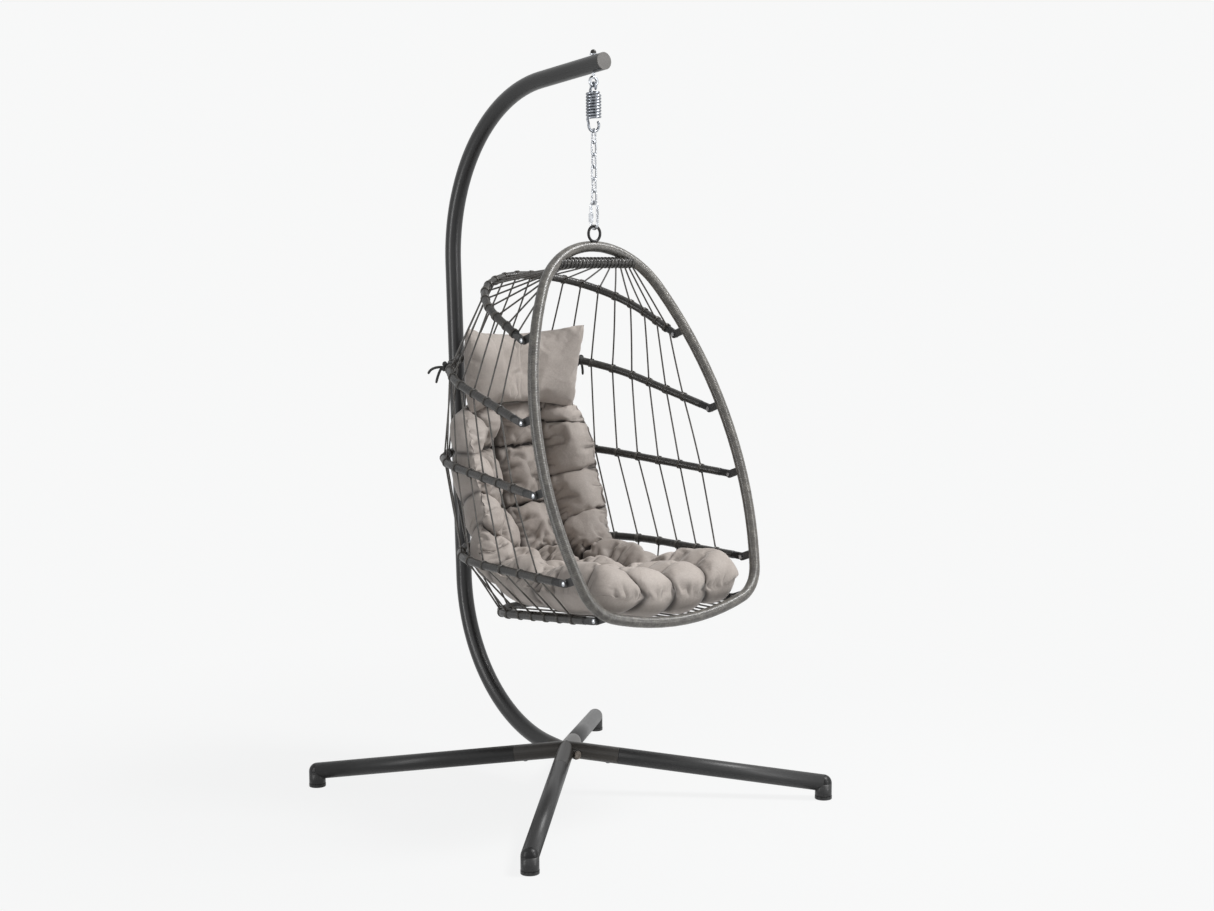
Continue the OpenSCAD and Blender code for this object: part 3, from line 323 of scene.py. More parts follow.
def frames(path):
    """Two directions across a path at each of its points, carried along without twist."""
    tangent = unit(np.gradient(path, axis=0))
    side = np.empty_like(path)
    s = np.eye(3)[np.argmin(np.abs(tangent[0]))]
    for i, t in enumerate(tangent):
        s = s - t * (s @ t)
        s /= np.linalg.norm(s)
        side[i] = s
    return side, np.cross(tangent, side)


def circle(sides):
    """The angles of a ring of points."""
    return np.arange(sides) * 2 * np.pi / sides


def tube(path, radius, sides):
    """Grid of a tube; radius is one number or one for each point."""
    u, w = frames(path)
    a = circle(sides)
    ring = u[:, None] * np.cos(a)[None, :, None] + w[:, None] * np.sin(a)[None, :, None]
    return path[:, None] + ring * np.broadcast_to(np.asarray(radius, float), (len(path),))[:, None, None]


CROWN_POWER = 0.45  # below 1, so that a strip is flat on top and drops at its edges


def wound_tube(path, normal, radius, pitch, depth, sides, closed=False):
    """A tube wound with flat strip: a helix of shallow grooves, one for each turn."""
    step = np.linalg.norm(np.diff(path, axis=0), axis=1)
    along = np.concatenate([[0], np.cumsum(step)])
    if closed:
        total = along[-1] + np.linalg.norm(path[0] - path[-1])
        pitch = total / round(total / pitch)
        tangent = unit(np.roll(path, -1, axis=0) - np.roll(path, 1, axis=0))
    else:
        tangent = unit(np.gradient(path, axis=0))
    side = np.cross(tangent, normal)
    a = circle(sides)
    phase = along[:, None] / pitch + a[None] / (2 * np.pi)
    crown = np.abs(np.sin(np.pi * phase)) ** CROWN_POWER
    turn = np.floor(phase)
    uneven = 0.12 * np.sin(turn * 2.399 + 0.7) + 0.08 * np.sin(turn * 0.617)
    r = radius - depth * (1 - crown) + uneven * crown
    ring = side[:, None] * np.cos(a)[None, :, None] + normal * np.sin(a)[None, :, None]
    return path[:, None] + ring * r[..., None]


# ---- The part's geometry, in millimetres, with the sizes of part.scad ----

HANG_Y = -130.0
TURN = math.radians(3)
LEAN = math.radians(19.7)
HOOP_BACK, HOOP_TOP_Z = 8.0, 1444.35
HOOP_D, CROSSBAR_D, RIB_D, STRAND_D = 27.0, 25.0, 19.0, 4.5
TOP_R, HALF_W, WIDEST, HOOP_H, CORNER_R, BOTTOM_R = 228.0, 330.0, 600.0, 972.0, 110.0, 800.0
CROSSBAR_DROP, PIVOT_BACK, TONGUE_L, PRESS_L = 44.0, 45.0, 14.0, 18.0
RIB_UP = (744, 537, 357, 137, 37)
RIB_DROP = [HOOP_H - up for up in RIB_UP]
RIB_DEPTH = (346, 526, 614, 607, 540)
RIB_RISE = [math.radians(a) for a in (27, 15.8, 5.1, 1.4, -6)]
RIB_TAPER = (6, 22, 54, 4, 40)
RIB_SIDE = 5.8
STRAND_PAIRS = 10
OUTER_STRAND = (14, 85, 85, 85, 75)
CROSSBAR_STRAND_W, SEAT_STRAND_W = 116.0, 190.0


def in_basket(points):
    """Points of the basket's own frame, in the row frame. Both are in millimetres."""
    p = np.asarray(points, float)
    c, s = math.cos(TURN), math.sin(TURN)
    return np.stack([p[..., 0] * c - p[..., 1] * s, p[..., 0] * s + p[..., 1] * c + HANG_Y, p[..., 2]], -1)


def turned(v):
    """A direction of the basket's frame, in the row frame."""
    return in_basket(v) - in_basket((0, 0, 0))


def behind_hoop(x, up, back):
    """Points placed from the hoop's top: sideways, up along the leaning hoop and back from its plane."""
    x, up, back = np.broadcast_arrays(*(np.asarray(v, float) for v in (x, up, back)))
    return np.stack([x, HOOP_BACK + up * math.sin(LEAN) + back * math.cos(LEAN),
                     HOOP_TOP_Z + up * math.cos(LEAN) - back * math.sin(LEAN)], -1)


HOOP_NORMAL = np.array([0, math.cos(LEAN), -math.sin(LEAN)])


def angle_of(v):
    return math.atan2(v[1], v[0])


def circles_meet(c1, r1, c2, r2):
    """The right-hand point where two circles meet."""
    d = np.linalg.norm(c2 - c1)
    a = (r1 * r1 - r2 * r2 + d * d) / (2 * d)
    u = (c2 - c1) / d
    return c1 + a * u + math.sqrt(r1 * r1 - a * a) * np.array([u[1], -u[0]])


SIDE_R = (HALF_W**2 + (WIDEST - TOP_R) ** 2 - TOP_R**2) / (2 * (HALF_W - TOP_R))
SIDE_C = np.array([HALF_W - SIDE_R, -WIDEST])
TOP_C = np.array([0, -TOP_R])
BOTTOM_C = np.array([0, BOTTOM_R - HOOP_H])
CORNER_C = circles_meet(SIDE_C, SIDE_R - CORNER_R, BOTTOM_C, BOTTOM_R - CORNER_R)
TOP_END = angle_of(TOP_C - SIDE_C)
SIDE_END = angle_of(CORNER_C - SIDE_C)
CORNER_END = angle_of(CORNER_C - BOTTOM_C)


def arc(centre, radius, start, end, spacing):
    n = max(2, round(abs(end - start) * radius / spacing))
    a = np.linspace(start, end, n, endpoint=False)
    return np.stack([centre[0] + radius * np.cos(a), centre[1] + radius * np.sin(a)], -1)


def hoop_path(spacing):
    """The hoop's middle line, once round, in the hoop's plane."""
    right = [arc(TOP_C, TOP_R, math.pi / 2, TOP_END, spacing), arc(SIDE_C, SIDE_R, TOP_END, SIDE_END, spacing),
             arc(CORNER_C, CORNER_R, SIDE_END, CORNER_END, spacing),
             arc(BOTTOM_C, BOTTOM_R, CORNER_END, -math.pi / 2, spacing)]
    half = np.concatenate(right)
    last = np.array([[0.0, -HOOP_H]])
    left = half[1:][::-1] * [-1, 1]
    return np.concatenate([half, last, left])


SIDE_START_DROP = -(TOP_C[1] + TOP_R * math.sin(TOP_END))
CORNER_START_DROP = -(CORNER_C[1] + CORNER_R * math.sin(SIDE_END))


def hoop_x(drop):
    """Half the hoop's width at a drop below its top."""
    if drop < SIDE_START_DROP:
        return math.sqrt(TOP_R**2 - (TOP_R - drop) ** 2)
    if drop < CORNER_START_DROP:
        return SIDE_C[0] + math.sqrt(SIDE_R**2 - (WIDEST - drop) ** 2)
    return CORNER_C[0] + math.sqrt(CORNER_R**2 - (-CORNER_C[1] - drop) ** 2)


class Rib:
    """A rib's middle line, by distance from its right-hand flat end."""

    def __init__(self, n):
        self.pivot = behind_hoop(0, -RIB_DROP[n], PIVOT_BACK)
        self.x = hoop_x(RIB_DROP[n]) + RIB_SIDE
        self.r = self.x - RIB_TAPER[n]
        self.c = RIB_DEPTH[n] - self.r - TONGUE_L
        self.leg = math.sqrt(self.x**2 + self.c**2 - self.r**2)
        self.heading = math.pi - math.atan2(self.c, self.x) - math.asin(self.r / math.hypot(self.x, self.c))
        self.half = self.leg + self.r * (math.pi - self.heading)
        self.rise = RIB_RISE[n]
        self.normal = np.array([0, -math.sin(self.rise), math.cos(self.rise)])

    def flat(self, s):
        s = np.asarray(s, float)
        on_left = s > self.half
        d = np.where(on_left, 2 * self.half - s, s)
        a = self.heading - math.pi / 2 + (d - self.leg) / self.r
        straight = np.stack([self.x + d * math.cos(self.heading), TONGUE_L + d * math.sin(self.heading)], -1)
        bent = np.stack([self.r * np.cos(a), TONGUE_L + self.c + self.r * np.sin(a)], -1)
        p = np.where((d <= self.leg)[..., None], straight, bent)
        p[..., 0] = np.where(on_left, -p[..., 0], p[..., 0])
        return p

    def at(self, s):
        p = self.flat(s)
        return self.pivot + np.stack([p[..., 0], p[..., 1] * math.cos(self.rise), p[..., 1] * math.sin(self.rise)], -1)


RIBS = [Rib(n) for n in range(5)]


def share(j):
    """How far strand pair j stands from the outermost pair, as a share of the way to the middle."""
    return j / (STRAND_PAIRS - 0.5)


def strand_s(n, j):
    """Where strand pair j crosses rib n."""
    return OUTER_STRAND[n] + (RIBS[n].half - OUTER_STRAND[n]) * share(j)


def on_crossbar(j):
    return behind_hoop(CROSSBAR_STRAND_W * (1 - share(j)), -CROSSBAR_DROP, 0)


def on_bottom(j):
    x = SEAT_STRAND_W * (1 - share(j))
    return behind_hoop(x, BOTTOM_C[1] - math.sqrt(BOTTOM_R**2 - x * x), 0)


def mirrored(p):
    return np.asarray(p) * [-1, 1, 1]


# ---- Basket bars: strip wound round the hoop, the crossbar and the ribs ----

WIND_PITCH = 4.2
WIND_DEPTH = 0.6
RIB_WIND_DEPTH = WIND_DEPTH * 0.9
RINGS_PER_TURN = 5
WIND_STEP = WIND_PITCH / RINGS_PER_TURN
HOOP_COVER, CROSSBAR_COVER, RIB_COVER = 0.2, 0.2, 0.75
HOOP_SIDES, CROSSBAR_SIDES, RIB_SIDES = 30, 26, 20
CROSSBAR_END_GAP = 9.0
RIB_BARE_L = PRESS_L + 4


def wound(name, path, normal, radius, depth, sides, material, slot, closed=False):
    shell = Shell()
    shell.add(wound_tube(path, unit(turned(normal)), radius, WIND_PITCH, depth, sides, closed), closed)
    return shell.object(name, material, slot)


def wind_hoop():
    flat = hoop_path(WIND_STEP)
    path = in_basket(behind_hoop(flat[:, 0], flat[:, 1], 0))
    winding = wound("hoop_winding", path, HOOP_NORMAL, HOOP_D / 2 + HOOP_COVER, WIND_DEPTH, HOOP_SIDES,
                    HOOP_RATTAN, "wound_tube", closed=True)
    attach(winding, "basket")
    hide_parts("hoop")


def wind_crossbar():
    reach = hoop_x(CROSSBAR_DROP) - CROSSBAR_END_GAP
    x = np.arange(-reach, reach + 0.1, WIND_STEP)
    path = in_basket(behind_hoop(x, -CROSSBAR_DROP, 0))
    winding = wound("crossbar_winding", path, HOOP_NORMAL, CROSSBAR_D / 2 + CROSSBAR_COVER, WIND_DEPTH,
                    CROSSBAR_SIDES, RIB_RATTAN, "wound_bar")
    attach(winding, "basket")
    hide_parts("crossbar")


def wind_rib(n):
    rib = RIBS[n]
    s = np.arange(RIB_BARE_L, 2 * rib.half - RIB_BARE_L, WIND_STEP)
    winding = wound(f"rib_{n + 1}_winding", in_basket(rib.at(s)), rib.normal, RIB_D / 2 + RIB_COVER,
                    RIB_WIND_DEPTH, RIB_SIDES, RIB_RATTAN, "rib_tube")
    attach(winding, f"rib_{n + 1}")


wind_hoop()
wind_crossbar()
for n in range(5):
    wind_rib(n)

# ---- Strands: taut cords, each wound a few turns round every bar it crosses ----

CORD_R, CORD_SIDES = STRAND_D / 2, 10
COIL_R, COIL_SIDES = 1.7, 8
COIL_PITCH = 2.1 * COIL_R
COIL_OUT = 0.45  # how far a coil's middle line stands off the bar, as a share of COIL_R
TURN_RINGS = 14
FEWEST_TURNS, MORE_TURNS, CROSSBAR_TURNS = 2.1, 0.9, 1.2
COIL_CLEAR_L, COIL_CLEAR_R = 6, 0.7  # room beyond a rib's pressed end and round its tube
STRAND_IN = 0.7  # where a strand starts and ends, as a share of the bar's radius
CORD_BOW = 2.2  # the most that a strand strays from a straight line, from side to side


def coil_round(at, along, away, bar_r, turns):
    """Turns of cord round a bar, half sunk in its winding. away is where the cord comes from."""
    along = unit(np.asarray(along, float))
    u = unit(away - along * (away @ along))
    w = np.cross(along, u)
    a = np.linspace(0, turns * 2 * np.pi, int(turns * TURN_RINGS) + 1)
    lift = COIL_PITCH * (a / (2 * np.pi) - turns / 2)
    r = bar_r + COIL_OUT * COIL_R
    return at + r * (u * np.cos(a)[:, None] + w * np.sin(a)[:, None]) + along * lift[:, None]


def rib_coils(n):
    rib = RIBS[n]
    shell = Shell()
    for j in range(STRAND_PAIRS):
        s = max(strand_s(n, j), PRESS_L + COIL_CLEAR_L)
        at, nxt = rib.at(s), rib.at(s + 1)
        for side in (1, -1):
            turns = FEWEST_TURNS + MORE_TURNS * rng.random()
            flip = np.array([side, 1, 1])
            path = coil_round(at * flip, (nxt - at) * flip, rib.normal, RIB_D / 2 + COIL_CLEAR_R, turns)
            shell.add(tube(in_basket(path), COIL_R, COIL_SIDES))
    coils = shell.object(f"rib_{n + 1}_coils", STRAND, "strands")
    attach(coils, f"rib_{n + 1}")


def crossbar_coils():
    shell = Shell()
    for j in range(STRAND_PAIRS):
        for side in (1, -1):
            path = coil_round(on_crossbar(j) * [side, 1, 1], (1, 0, 0), np.array([0, 0, 1.0]), CROSSBAR_D / 2,
                              CROSSBAR_TURNS)
            shell.add(tube(in_basket(path), COIL_R, COIL_SIDES))
    coils = shell.object("crossbar_coils", RIB_RATTAN, "wound_bar")
    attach(coils, "basket")


def strand_band(name, place_a, place_b, r_a, r_b, node):
    """The strands between two bars, each a taut cord that starts and ends on a bar's coil."""
    shell = Shell()
    for j in range(STRAND_PAIRS):
        a, b = place_a(j), place_b(j)
        d = unit(b - a)
        start, end = a + d * r_a * STRAND_IN, b - d * r_b * STRAND_IN
        t = np.linspace(0, 1, 13)[:, None]
        path = start + (end - start) * t
        for m in (0, 1):
            p = mirrored(path) if m else path
            bow = np.sin(np.pi * t) * (rng.random(3) - 0.5) * CORD_BOW
            shell.add(tube(in_basket(p + bow), CORD_R, CORD_SIDES))
    band = shell.object(name, STRAND, "strands")
    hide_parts(node)
    return band


for n in range(5):
    rib_coils(n)
crossbar_coils()


def on_rib(n):
    return lambda j: RIBS[n].at(strand_s(n, j))


# The top band, from the crossbar to rib 1, is baked in place and attached to no body.
top_band = strand_band("strands_crossbar_to_rib_1", on_crossbar, on_rib(0), CROSSBAR_D / 2, RIB_D / 2, "strands_top")
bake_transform(top_band)
# Each band below it turns with the rib it hangs from.
for n in range(4):
    band = strand_band(f"strands_rib_{n + 1}_to_{n + 2}", on_rib(n), on_rib(n + 1), RIB_D / 2, RIB_D / 2,
                       f"strands_{n + 1}_{n + 2}")
    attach(band, f"rib_{n + 1}")
    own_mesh(band)
seat_band = strand_band("strands_rib_5_to_hoop", on_rib(4), on_bottom, RIB_D / 2, HOOP_D / 2, "strands_seat")
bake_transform(seat_band)

# ---- Spring: the same wire path as the CAD, smooth and round ----

SPRING_WIRE, SPRING_R, SPRING_HOOK_R = 7.0, 16.5, 9.5
SPRING_TURNS, SPRING_TURN_RINGS, SPRING_SIDES = 8, 32, 16
HOOK_Z = 1852.82 - SPRING_HOOK_R
COIL_TOP_Z, COIL_LOW_Z = 1825.52, 1765.52
LOOP_Z = COIL_LOW_Z - 17.5


def bezier(a, b, c, d, t):
    a, b, c, d = (np.asarray(v, float) for v in (a, b, c, d))
    t = np.asarray(t)[:, None]
    return a * (1 - t) ** 3 + 3 * b * t * (1 - t) ** 2 + 3 * c * t * t * (1 - t) + d * t**3


def make_spring():
    hook_foot = (0, SPRING_HOOK_R, COIL_TOP_Z + 6)
    a = np.radians(np.arange(225, 0, -7.5))
    hook = np.stack([0 * a, SPRING_HOOK_R * np.cos(a), HOOK_Z + SPRING_HOOK_R * np.sin(a)], -1)
    bend = bezier((0, SPRING_HOOK_R, HOOK_Z), (0, SPRING_HOOK_R, HOOK_Z - 7),
                  (-7, SPRING_HOOK_R, COIL_TOP_Z + 7), hook_foot, np.arange(12) / 12)
    t = np.arange(24) / 24
    r = SPRING_HOOK_R + (SPRING_R - SPRING_HOOK_R) * t * t * (3 - 2 * t)
    a = np.radians(90 - 270 * t)
    spiral = np.stack([r * np.cos(a), r * np.sin(a), hook_foot[2] + (COIL_TOP_Z - hook_foot[2]) * t], -1)
    steps = SPRING_TURNS * SPRING_TURN_RINGS
    i = np.arange(steps)
    a = np.pi - 2 * np.pi * i / SPRING_TURN_RINGS
    coil = np.stack([SPRING_R * np.cos(a), SPRING_R * np.sin(a),
                     COIL_TOP_Z - (COIL_TOP_Z - COIL_LOW_Z) * i / steps], -1)
    last = (-SPRING_R, 0, COIL_LOW_Z)
    down = bezier(last, (-SPRING_R, 9, COIL_LOW_Z - 0.5), (-SPRING_R, 0, LOOP_Z + 9), (-SPRING_R, 0, LOOP_Z),
                  np.arange(12) / 12)
    a = np.radians(180 + 215 * np.arange(40) / 39)
    loop = np.stack([SPRING_R * np.cos(a), 0 * a, LOOP_Z + SPRING_R * np.sin(a)], -1)
    path = np.concatenate([hook, bend, spiral, coil, down, loop]) + [0, HANG_Y, 0]
    shell = Shell()
    shell.add(tube(path, SPRING_WIRE / 2 - 0.1, SPRING_SIDES))
    spring = shell.object("coil_spring", SPRING_ZINC, "chain")
    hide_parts("spring")
    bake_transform(spring)


make_spring()

# ---- Legs: each runs in one smooth elbow into its foot ----

TUBE_R, FOOT_REACH, HUB_Z, FOOT_AXIS_Z, HUB_ARM_L, FOOT_CAP_H = 22.0, 480.0, 118.0, 42.0, 140.0, 9.0
LEG_L = FOOT_REACH * math.sqrt(2)
LEG_SIDES = 48


def ball(centre, radii, rings, sides):
    """Grid of an ellipsoid whose axes are the rows of radii."""
    a = np.linspace(0.02, math.pi - 0.02, rings)[:, None, None]
    b = (np.arange(sides) * 2 * np.pi / sides)[None, :, None]
    radii = np.asarray(radii, float)
    return centre + np.sin(a) * (np.cos(b) * radii[0] + np.sin(b) * radii[1]) + np.cos(a) * radii[2]


def make_leg(name, degrees):
    out = np.array([math.cos(math.radians(degrees)), math.sin(math.radians(degrees)), 0])
    elbow = out * LEG_L + [0, 0, FOOT_AXIS_Z]
    run = elbow - [0, 0, HUB_Z]
    run /= np.linalg.norm(run)
    start = run * HUB_ARM_L + [0, 0, HUB_Z]
    foot_z = np.array([FOOT_AXIS_Z, FOOT_CAP_H + 0.8, FOOT_CAP_H + 0.2])[:, None]
    shell = Shell()
    shell.add(tube(np.stack([start + run * 0.4, start + run * 1.2, elbow]), [TUBE_R - 0.7, TUBE_R, TUBE_R], LEG_SIDES))
    shell.add(tube(elbow * [1, 1, 0] + foot_z * [0, 0, 1], [TUBE_R, TUBE_R, TUBE_R - 0.5], LEG_SIDES))
    shell.add(ball(elbow, np.eye(3) * TUBE_R, 24, LEG_SIDES))
    leg = shell.object(name + "_elbow", LEG_STEEL, "frame")
    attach(leg, "stand")
    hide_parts(name)


for name, degrees in (("leg_front_left", 225), ("leg_front_right", 315), ("leg_rear_left", 135),
                      ("leg_rear_right", 45)):
    make_leg(name, degrees)

# ---- Cushion ties: a band of tape round rib 2, a knot and two tails ----

TIE_STRAND = 5
BAND_RINGS = np.array([[-7], [-6.2], [0], [6.2], [7]])
BAND_R = [11, 11.9, 12.1, 11.9, 11]
KNOT_OUT, KNOT_R = 15.5, (6.5, 7.5, 7.5)
TAILS = ((34, 27, 7), (10, 42, -9))  # reach outwards, drop and lean along the rib
TAIL_R = np.r_[2.8, np.full(13, 3.4), 3.3, 2.2]
TAIL_SIDES = 12


def knot_and_tails(side):
    """The band and the knot's two balls as grids, and the tails' middle lines."""
    rib = RIBS[1]
    s = (strand_s(1, TIE_STRAND) + strand_s(1, TIE_STRAND + 1)) / 2
    flip = np.array([side, 1, 1])
    at, nxt = rib.at(s) * flip, rib.at(s + 1) * flip
    along, up = unit(nxt - at), rib.normal
    out = np.cross(along, up)
    out *= np.sign(out @ (at - rib.pivot))
    band = tube(in_basket(at + along * BAND_RINGS), BAND_R, 24)
    knot_at = at + out * KNOT_OUT - up * 1
    radii = [turned(d) * r for d, r in zip((out, along, up), KNOT_R)]
    knot = [ball(in_basket(knot_at + up * z), radii, 10, 20) for z in (6, -6)]
    start = knot_at + out * 3 - up * 3
    tails = [bezier(start, start + out * reach * 0.6 - up * 2, start + out * reach - up * drop * 0.5 + along * lean,
                    start + out * reach * 1.05 - up * drop + along * lean * 1.3, np.linspace(0, 1, len(TAIL_R)))
             for reach, drop, lean in TAILS]
    return band, knot, tails


def make_ties():
    shell = Shell()
    for side in (1, -1):
        band, knot, tails = knot_and_tails(side)
        for grid in (band, *knot):
            shell.add(grid)
        for i, path in enumerate(tails):
            path = in_basket(path)
            tape = Shell()
            tape.add(tube(path, TAIL_R, TAIL_SIDES))
            tail = tape.object(f"tie_tail_{'right' if side > 0 else 'left'}_{i + 1}", TIE, "ties")
            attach(tail, "rib_2")
    knots = shell.object("tie_knots", TIE, "ties")
    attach(knots, "rib_2")
    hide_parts("cushion_ties")


make_ties()

# ---- Cushion and pillow ----


def rib_rear(n):
    rib = RIBS[n]
    return rib.pivot[1:] + RIB_DEPTH[n] * np.array([math.cos(rib.rise), math.sin(rib.rise)])


# The pads are surfaces over s, from -1 to 1 across, and t, from 0 at the front edge to 1 at the top.
HOOP_LOW = behind_hoop(0, -HOOP_H, 0)[1:]
SEAT_LINE = (HOOP_LOW + (14, 60), HOOP_LOW + (190, 41), rib_rear(4) + (-230, 55), rib_rear(4) + (-94, 84))
BACK_LINE = (SEAT_LINE[3], rib_rear(3) + (-54, -60), rib_rear(2) + (-11, -65), rib_rear(1) + (-25, -123))
SEAT_SHARE = 0.42
SEAT_T, BACK_T = 118.0, 92.0
SEAT_HALF_W, BACK_HALF_W, SHOULDER = 244.0, 306.0, 120.0
SEAT_BEND_R, BACK_BEND_R = 1000.0, 240.0
SEAT_SLIDE, BACK_SLIDE = -12.0, -30.0
REAR_SHARE = 0.8
TUFT_COLS, TUFT_ROWS, FRONT_ROLL = 4, 6, 0.75
TUFT_COL_CELLS, TUFT_ROW_CELLS = 20, 24
RIM_R = 46.0


def rising(t, start, end):
    """A smooth step from 0 at start to 1 at end."""
    x = np.clip((t - start) / (end - start), 0, 1)
    return x * x * (3 - 2 * x)


def mid_line(t):
    """The pad's middle line in the basket's middle plane: back and up."""
    t = np.asarray(t, float)
    seat = bezier(*SEAT_LINE, np.clip(t / SEAT_SHARE, 0, 1).ravel())
    back = bezier(*BACK_LINE, np.clip((t - SEAT_SHARE) / (1 - SEAT_SHARE), 0, 1).ravel())
    return np.where((t.ravel() < SEAT_SHARE)[:, None], seat, back).reshape(*t.shape, 2)


PAD_L = np.linalg.norm(np.diff(mid_line(np.linspace(0, 1, 41)), axis=0), axis=1).sum()


def pad_half_w(t):
    return SEAT_HALF_W + (BACK_HALF_W - SEAT_HALF_W) * rising(t, 0.36, 0.7) - SHOULDER * rising(t, 0.86, 1.16)


def pad_mid(s, t):
    """The middle line bent to the sides, over a radius that gets smaller from the seat to the back."""
    c = mid_line(t)
    d = unit(mid_line(np.minimum(t + 0.01, 1)) - mid_line(np.maximum(t - 0.01, 0)))
    r = SEAT_BEND_R + (BACK_BEND_R - SEAT_BEND_R) * rising(t, 0.15, 0.6) ** 0.6
    a = (s * pad_half_w(t) + SEAT_SLIDE + (BACK_SLIDE - SEAT_SLIDE) * rising(t, 0.3, 0.6)) / r
    bend = r * (1 - np.cos(a))
    return np.stack([r * np.sin(a), c[..., 0] - d[..., 1] * bend, c[..., 1] + d[..., 0] * bend], -1)


def surface_normal(mid, s, t):
    e = 0.01
    du = mid(s + e, t) - mid(s - e, t)
    dv = mid(s, np.minimum(t + e, 1)) - mid(s, np.maximum(t - e, 0))
    return unit(np.cross(du, dv))


def tuft(x):
    """Height of a row of puffs: 0 at whole numbers, where the seams are, and 1 between them."""
    return np.abs(np.sin(np.pi * x)) ** 0.5


def round_rim(distance):
    """Height of a rounded rim, from 0 at the edge to 1 further in than RIM_R."""
    return np.sqrt(1 - (1 - np.clip(distance / RIM_R, 0, 1)) ** 2)


def rim_steps(n):
    """Even steps from 0 to 1, with finer ones at both ends."""
    fine = np.array([0, 0.1, 0.4]) / n
    return np.concatenate([fine, np.arange(1, n) / n, 1 - fine[::-1]])


def grid_quads(i):
    return np.stack([i[:-1, :-1], i[:-1, 1:], i[1:, 1:], i[1:, :-1]], -1).reshape(-1, 4)


def pad_shell(name, mid, front_t, rear_t, cols, rows):
    """A closed pad: front and back skins that share their rim. Returns it with each point's (s, t) and skin."""
    s, t = np.meshgrid(rim_steps(cols) * 2 - 1, rim_steps(rows))
    centre, normal = mid(s, t), surface_normal(mid, s, t)
    rim = (np.abs(s) == 1) | (t == 0) | (t == 1)
    front = centre + normal * np.where(rim, 0, front_t(s, t))[..., None]
    back = centre - normal * np.where(rim, 0, rear_t(s, t))[..., None]
    inner = ~rim
    points = np.concatenate([front.reshape(-1, 3), back[inner]])
    front_index = np.arange(s.size).reshape(s.shape)
    back_index = front_index.copy()
    back_index[inner] = s.size + np.arange(inner.sum())
    shell = Shell()
    shell.points, shell.count = [in_basket(points)], len(points)
    shell.quads = [grid_quads(front_index), grid_quads(back_index)[:, ::-1]]
    obj = shell.object(name, CLOTH, "cloth")
    st = np.stack([s, t], -1)
    is_rear = np.arange(len(points)) >= s.size
    return obj, np.concatenate([st.reshape(-1, 2), st[inner]]), is_rear


CLOTH_MASS, CLOTH_STIFF, CLOTH_BEND, CLOTH_QUALITY = 0.2, 8.0, 0.05, 6


def vectors(vertices, what):
    """One vector for each vertex: its place (co) or its normal."""
    flat = np.empty(len(vertices) * 3)
    vertices.foreach_get(what, flat)
    return flat.reshape(-1, 3)


def move_to(mesh, points):
    mesh.vertices.foreach_set("co", points.astype(np.float32).ravel())
    mesh.update()


def inflate(obj, pin, pressure, grow, frames_n, cap):
    """Cloth under pressure, held at its seams. Each point moves at most cap millimetres."""
    mesh = obj.data
    rest = vectors(mesh.vertices, "co")
    group = obj.vertex_groups.new(name="seams")
    for weight in np.unique(np.round(pin, 2)):
        if weight > 0:
            group.add([int(i) for i in np.flatnonzero(np.round(pin, 2) == weight)], float(weight), "REPLACE")
    modifier = obj.modifiers.new("cloth", "CLOTH")
    cloth = modifier.settings
    cloth.quality = CLOTH_QUALITY
    cloth.mass = CLOTH_MASS
    cloth.tension_stiffness = cloth.compression_stiffness = CLOTH_STIFF
    cloth.shear_stiffness = CLOTH_STIFF / 2
    cloth.bending_stiffness = CLOTH_BEND
    cloth.use_pressure = True
    cloth.uniform_pressure_force = pressure
    cloth.shrink_min = -grow
    cloth.effector_weights.gravity = 0
    cloth.vertex_group_mass = "seams"
    modifier.collision_settings.use_collision = False
    modifier.point_cache.frame_start, modifier.point_cache.frame_end = 1, frames_n
    for f in range(1, frames_n + 1):
        scene.frame_set(f)
    shaped = obj.evaluated_get(bpy.context.evaluated_depsgraph_get()).to_mesh()
    moved = vectors(shaped.vertices, "co") - rest
    length = np.linalg.norm(moved, axis=1, keepdims=True)
    moved *= np.minimum(1, cap * MM / np.maximum(length, 1e-9))
    obj.modifiers.remove(modifier)
    obj.vertex_groups.clear()
    move_to(mesh, rest + moved)
    scene.frame_set(1)


def smoothed(obj):
    """One applied level of subdivision."""
    modifier = obj.modifiers.new("fine", "SUBSURF")
    modifier.levels = modifier.render_levels = 1
    mesh = bpy.data.meshes.new_from_object(obj.evaluated_get(bpy.context.evaluated_depsgraph_get()))
    obj.modifiers.remove(modifier)
    obj.data = mesh


CORNER_ROUND = 44.0
NOSE_NOTCH, NOSE_L = 3.0, 90.0
WING_SHIFT = 10 / 24
FIRST_ROW_SEAM = 2


def column_at(s):
    return (s + 1) / 2 * TUFT_COLS


def column_puff(s):
    return tuft(column_at(s))


def row_at(s, t):
    """Rows counted along the pad. On the right wing they sit a little higher."""
    return t * TUFT_ROWS + FRONT_ROLL - WING_SHIFT * rising(s, 0.46, 0.54) * rising(t, 0.3, 0.45)


def row_puff(s, t):
    """The front roll has no seam before row 2."""
    return tuft(np.maximum(row_at(s, t), FIRST_ROW_SEAM - 0.5))


def cushion_mid(s, t):
    """The pad's middle surface, with round front corners and a nose drawn in at the column seams."""
    near = np.clip(1 - t * PAD_L / CORNER_ROUND, 0, 1)
    s = s * (1 - CORNER_ROUND * (1 - np.sqrt(1 - near * near)) / pad_half_w(t))
    fade = np.clip(1 - t * PAD_L / NOSE_L, 0, 1)
    return pad_mid(s, t + NOSE_NOTCH / PAD_L * fade * (1 - column_puff(s)))


def cushion_full_t(s, t):
    rim = round_rim((1 - np.abs(s)) * pad_half_w(t)) * round_rim(np.minimum(t, 1 - t) * PAD_L)
    return (SEAT_T + (BACK_T - SEAT_T) * rising(t, 0.3, 0.6)) / 2 * rim


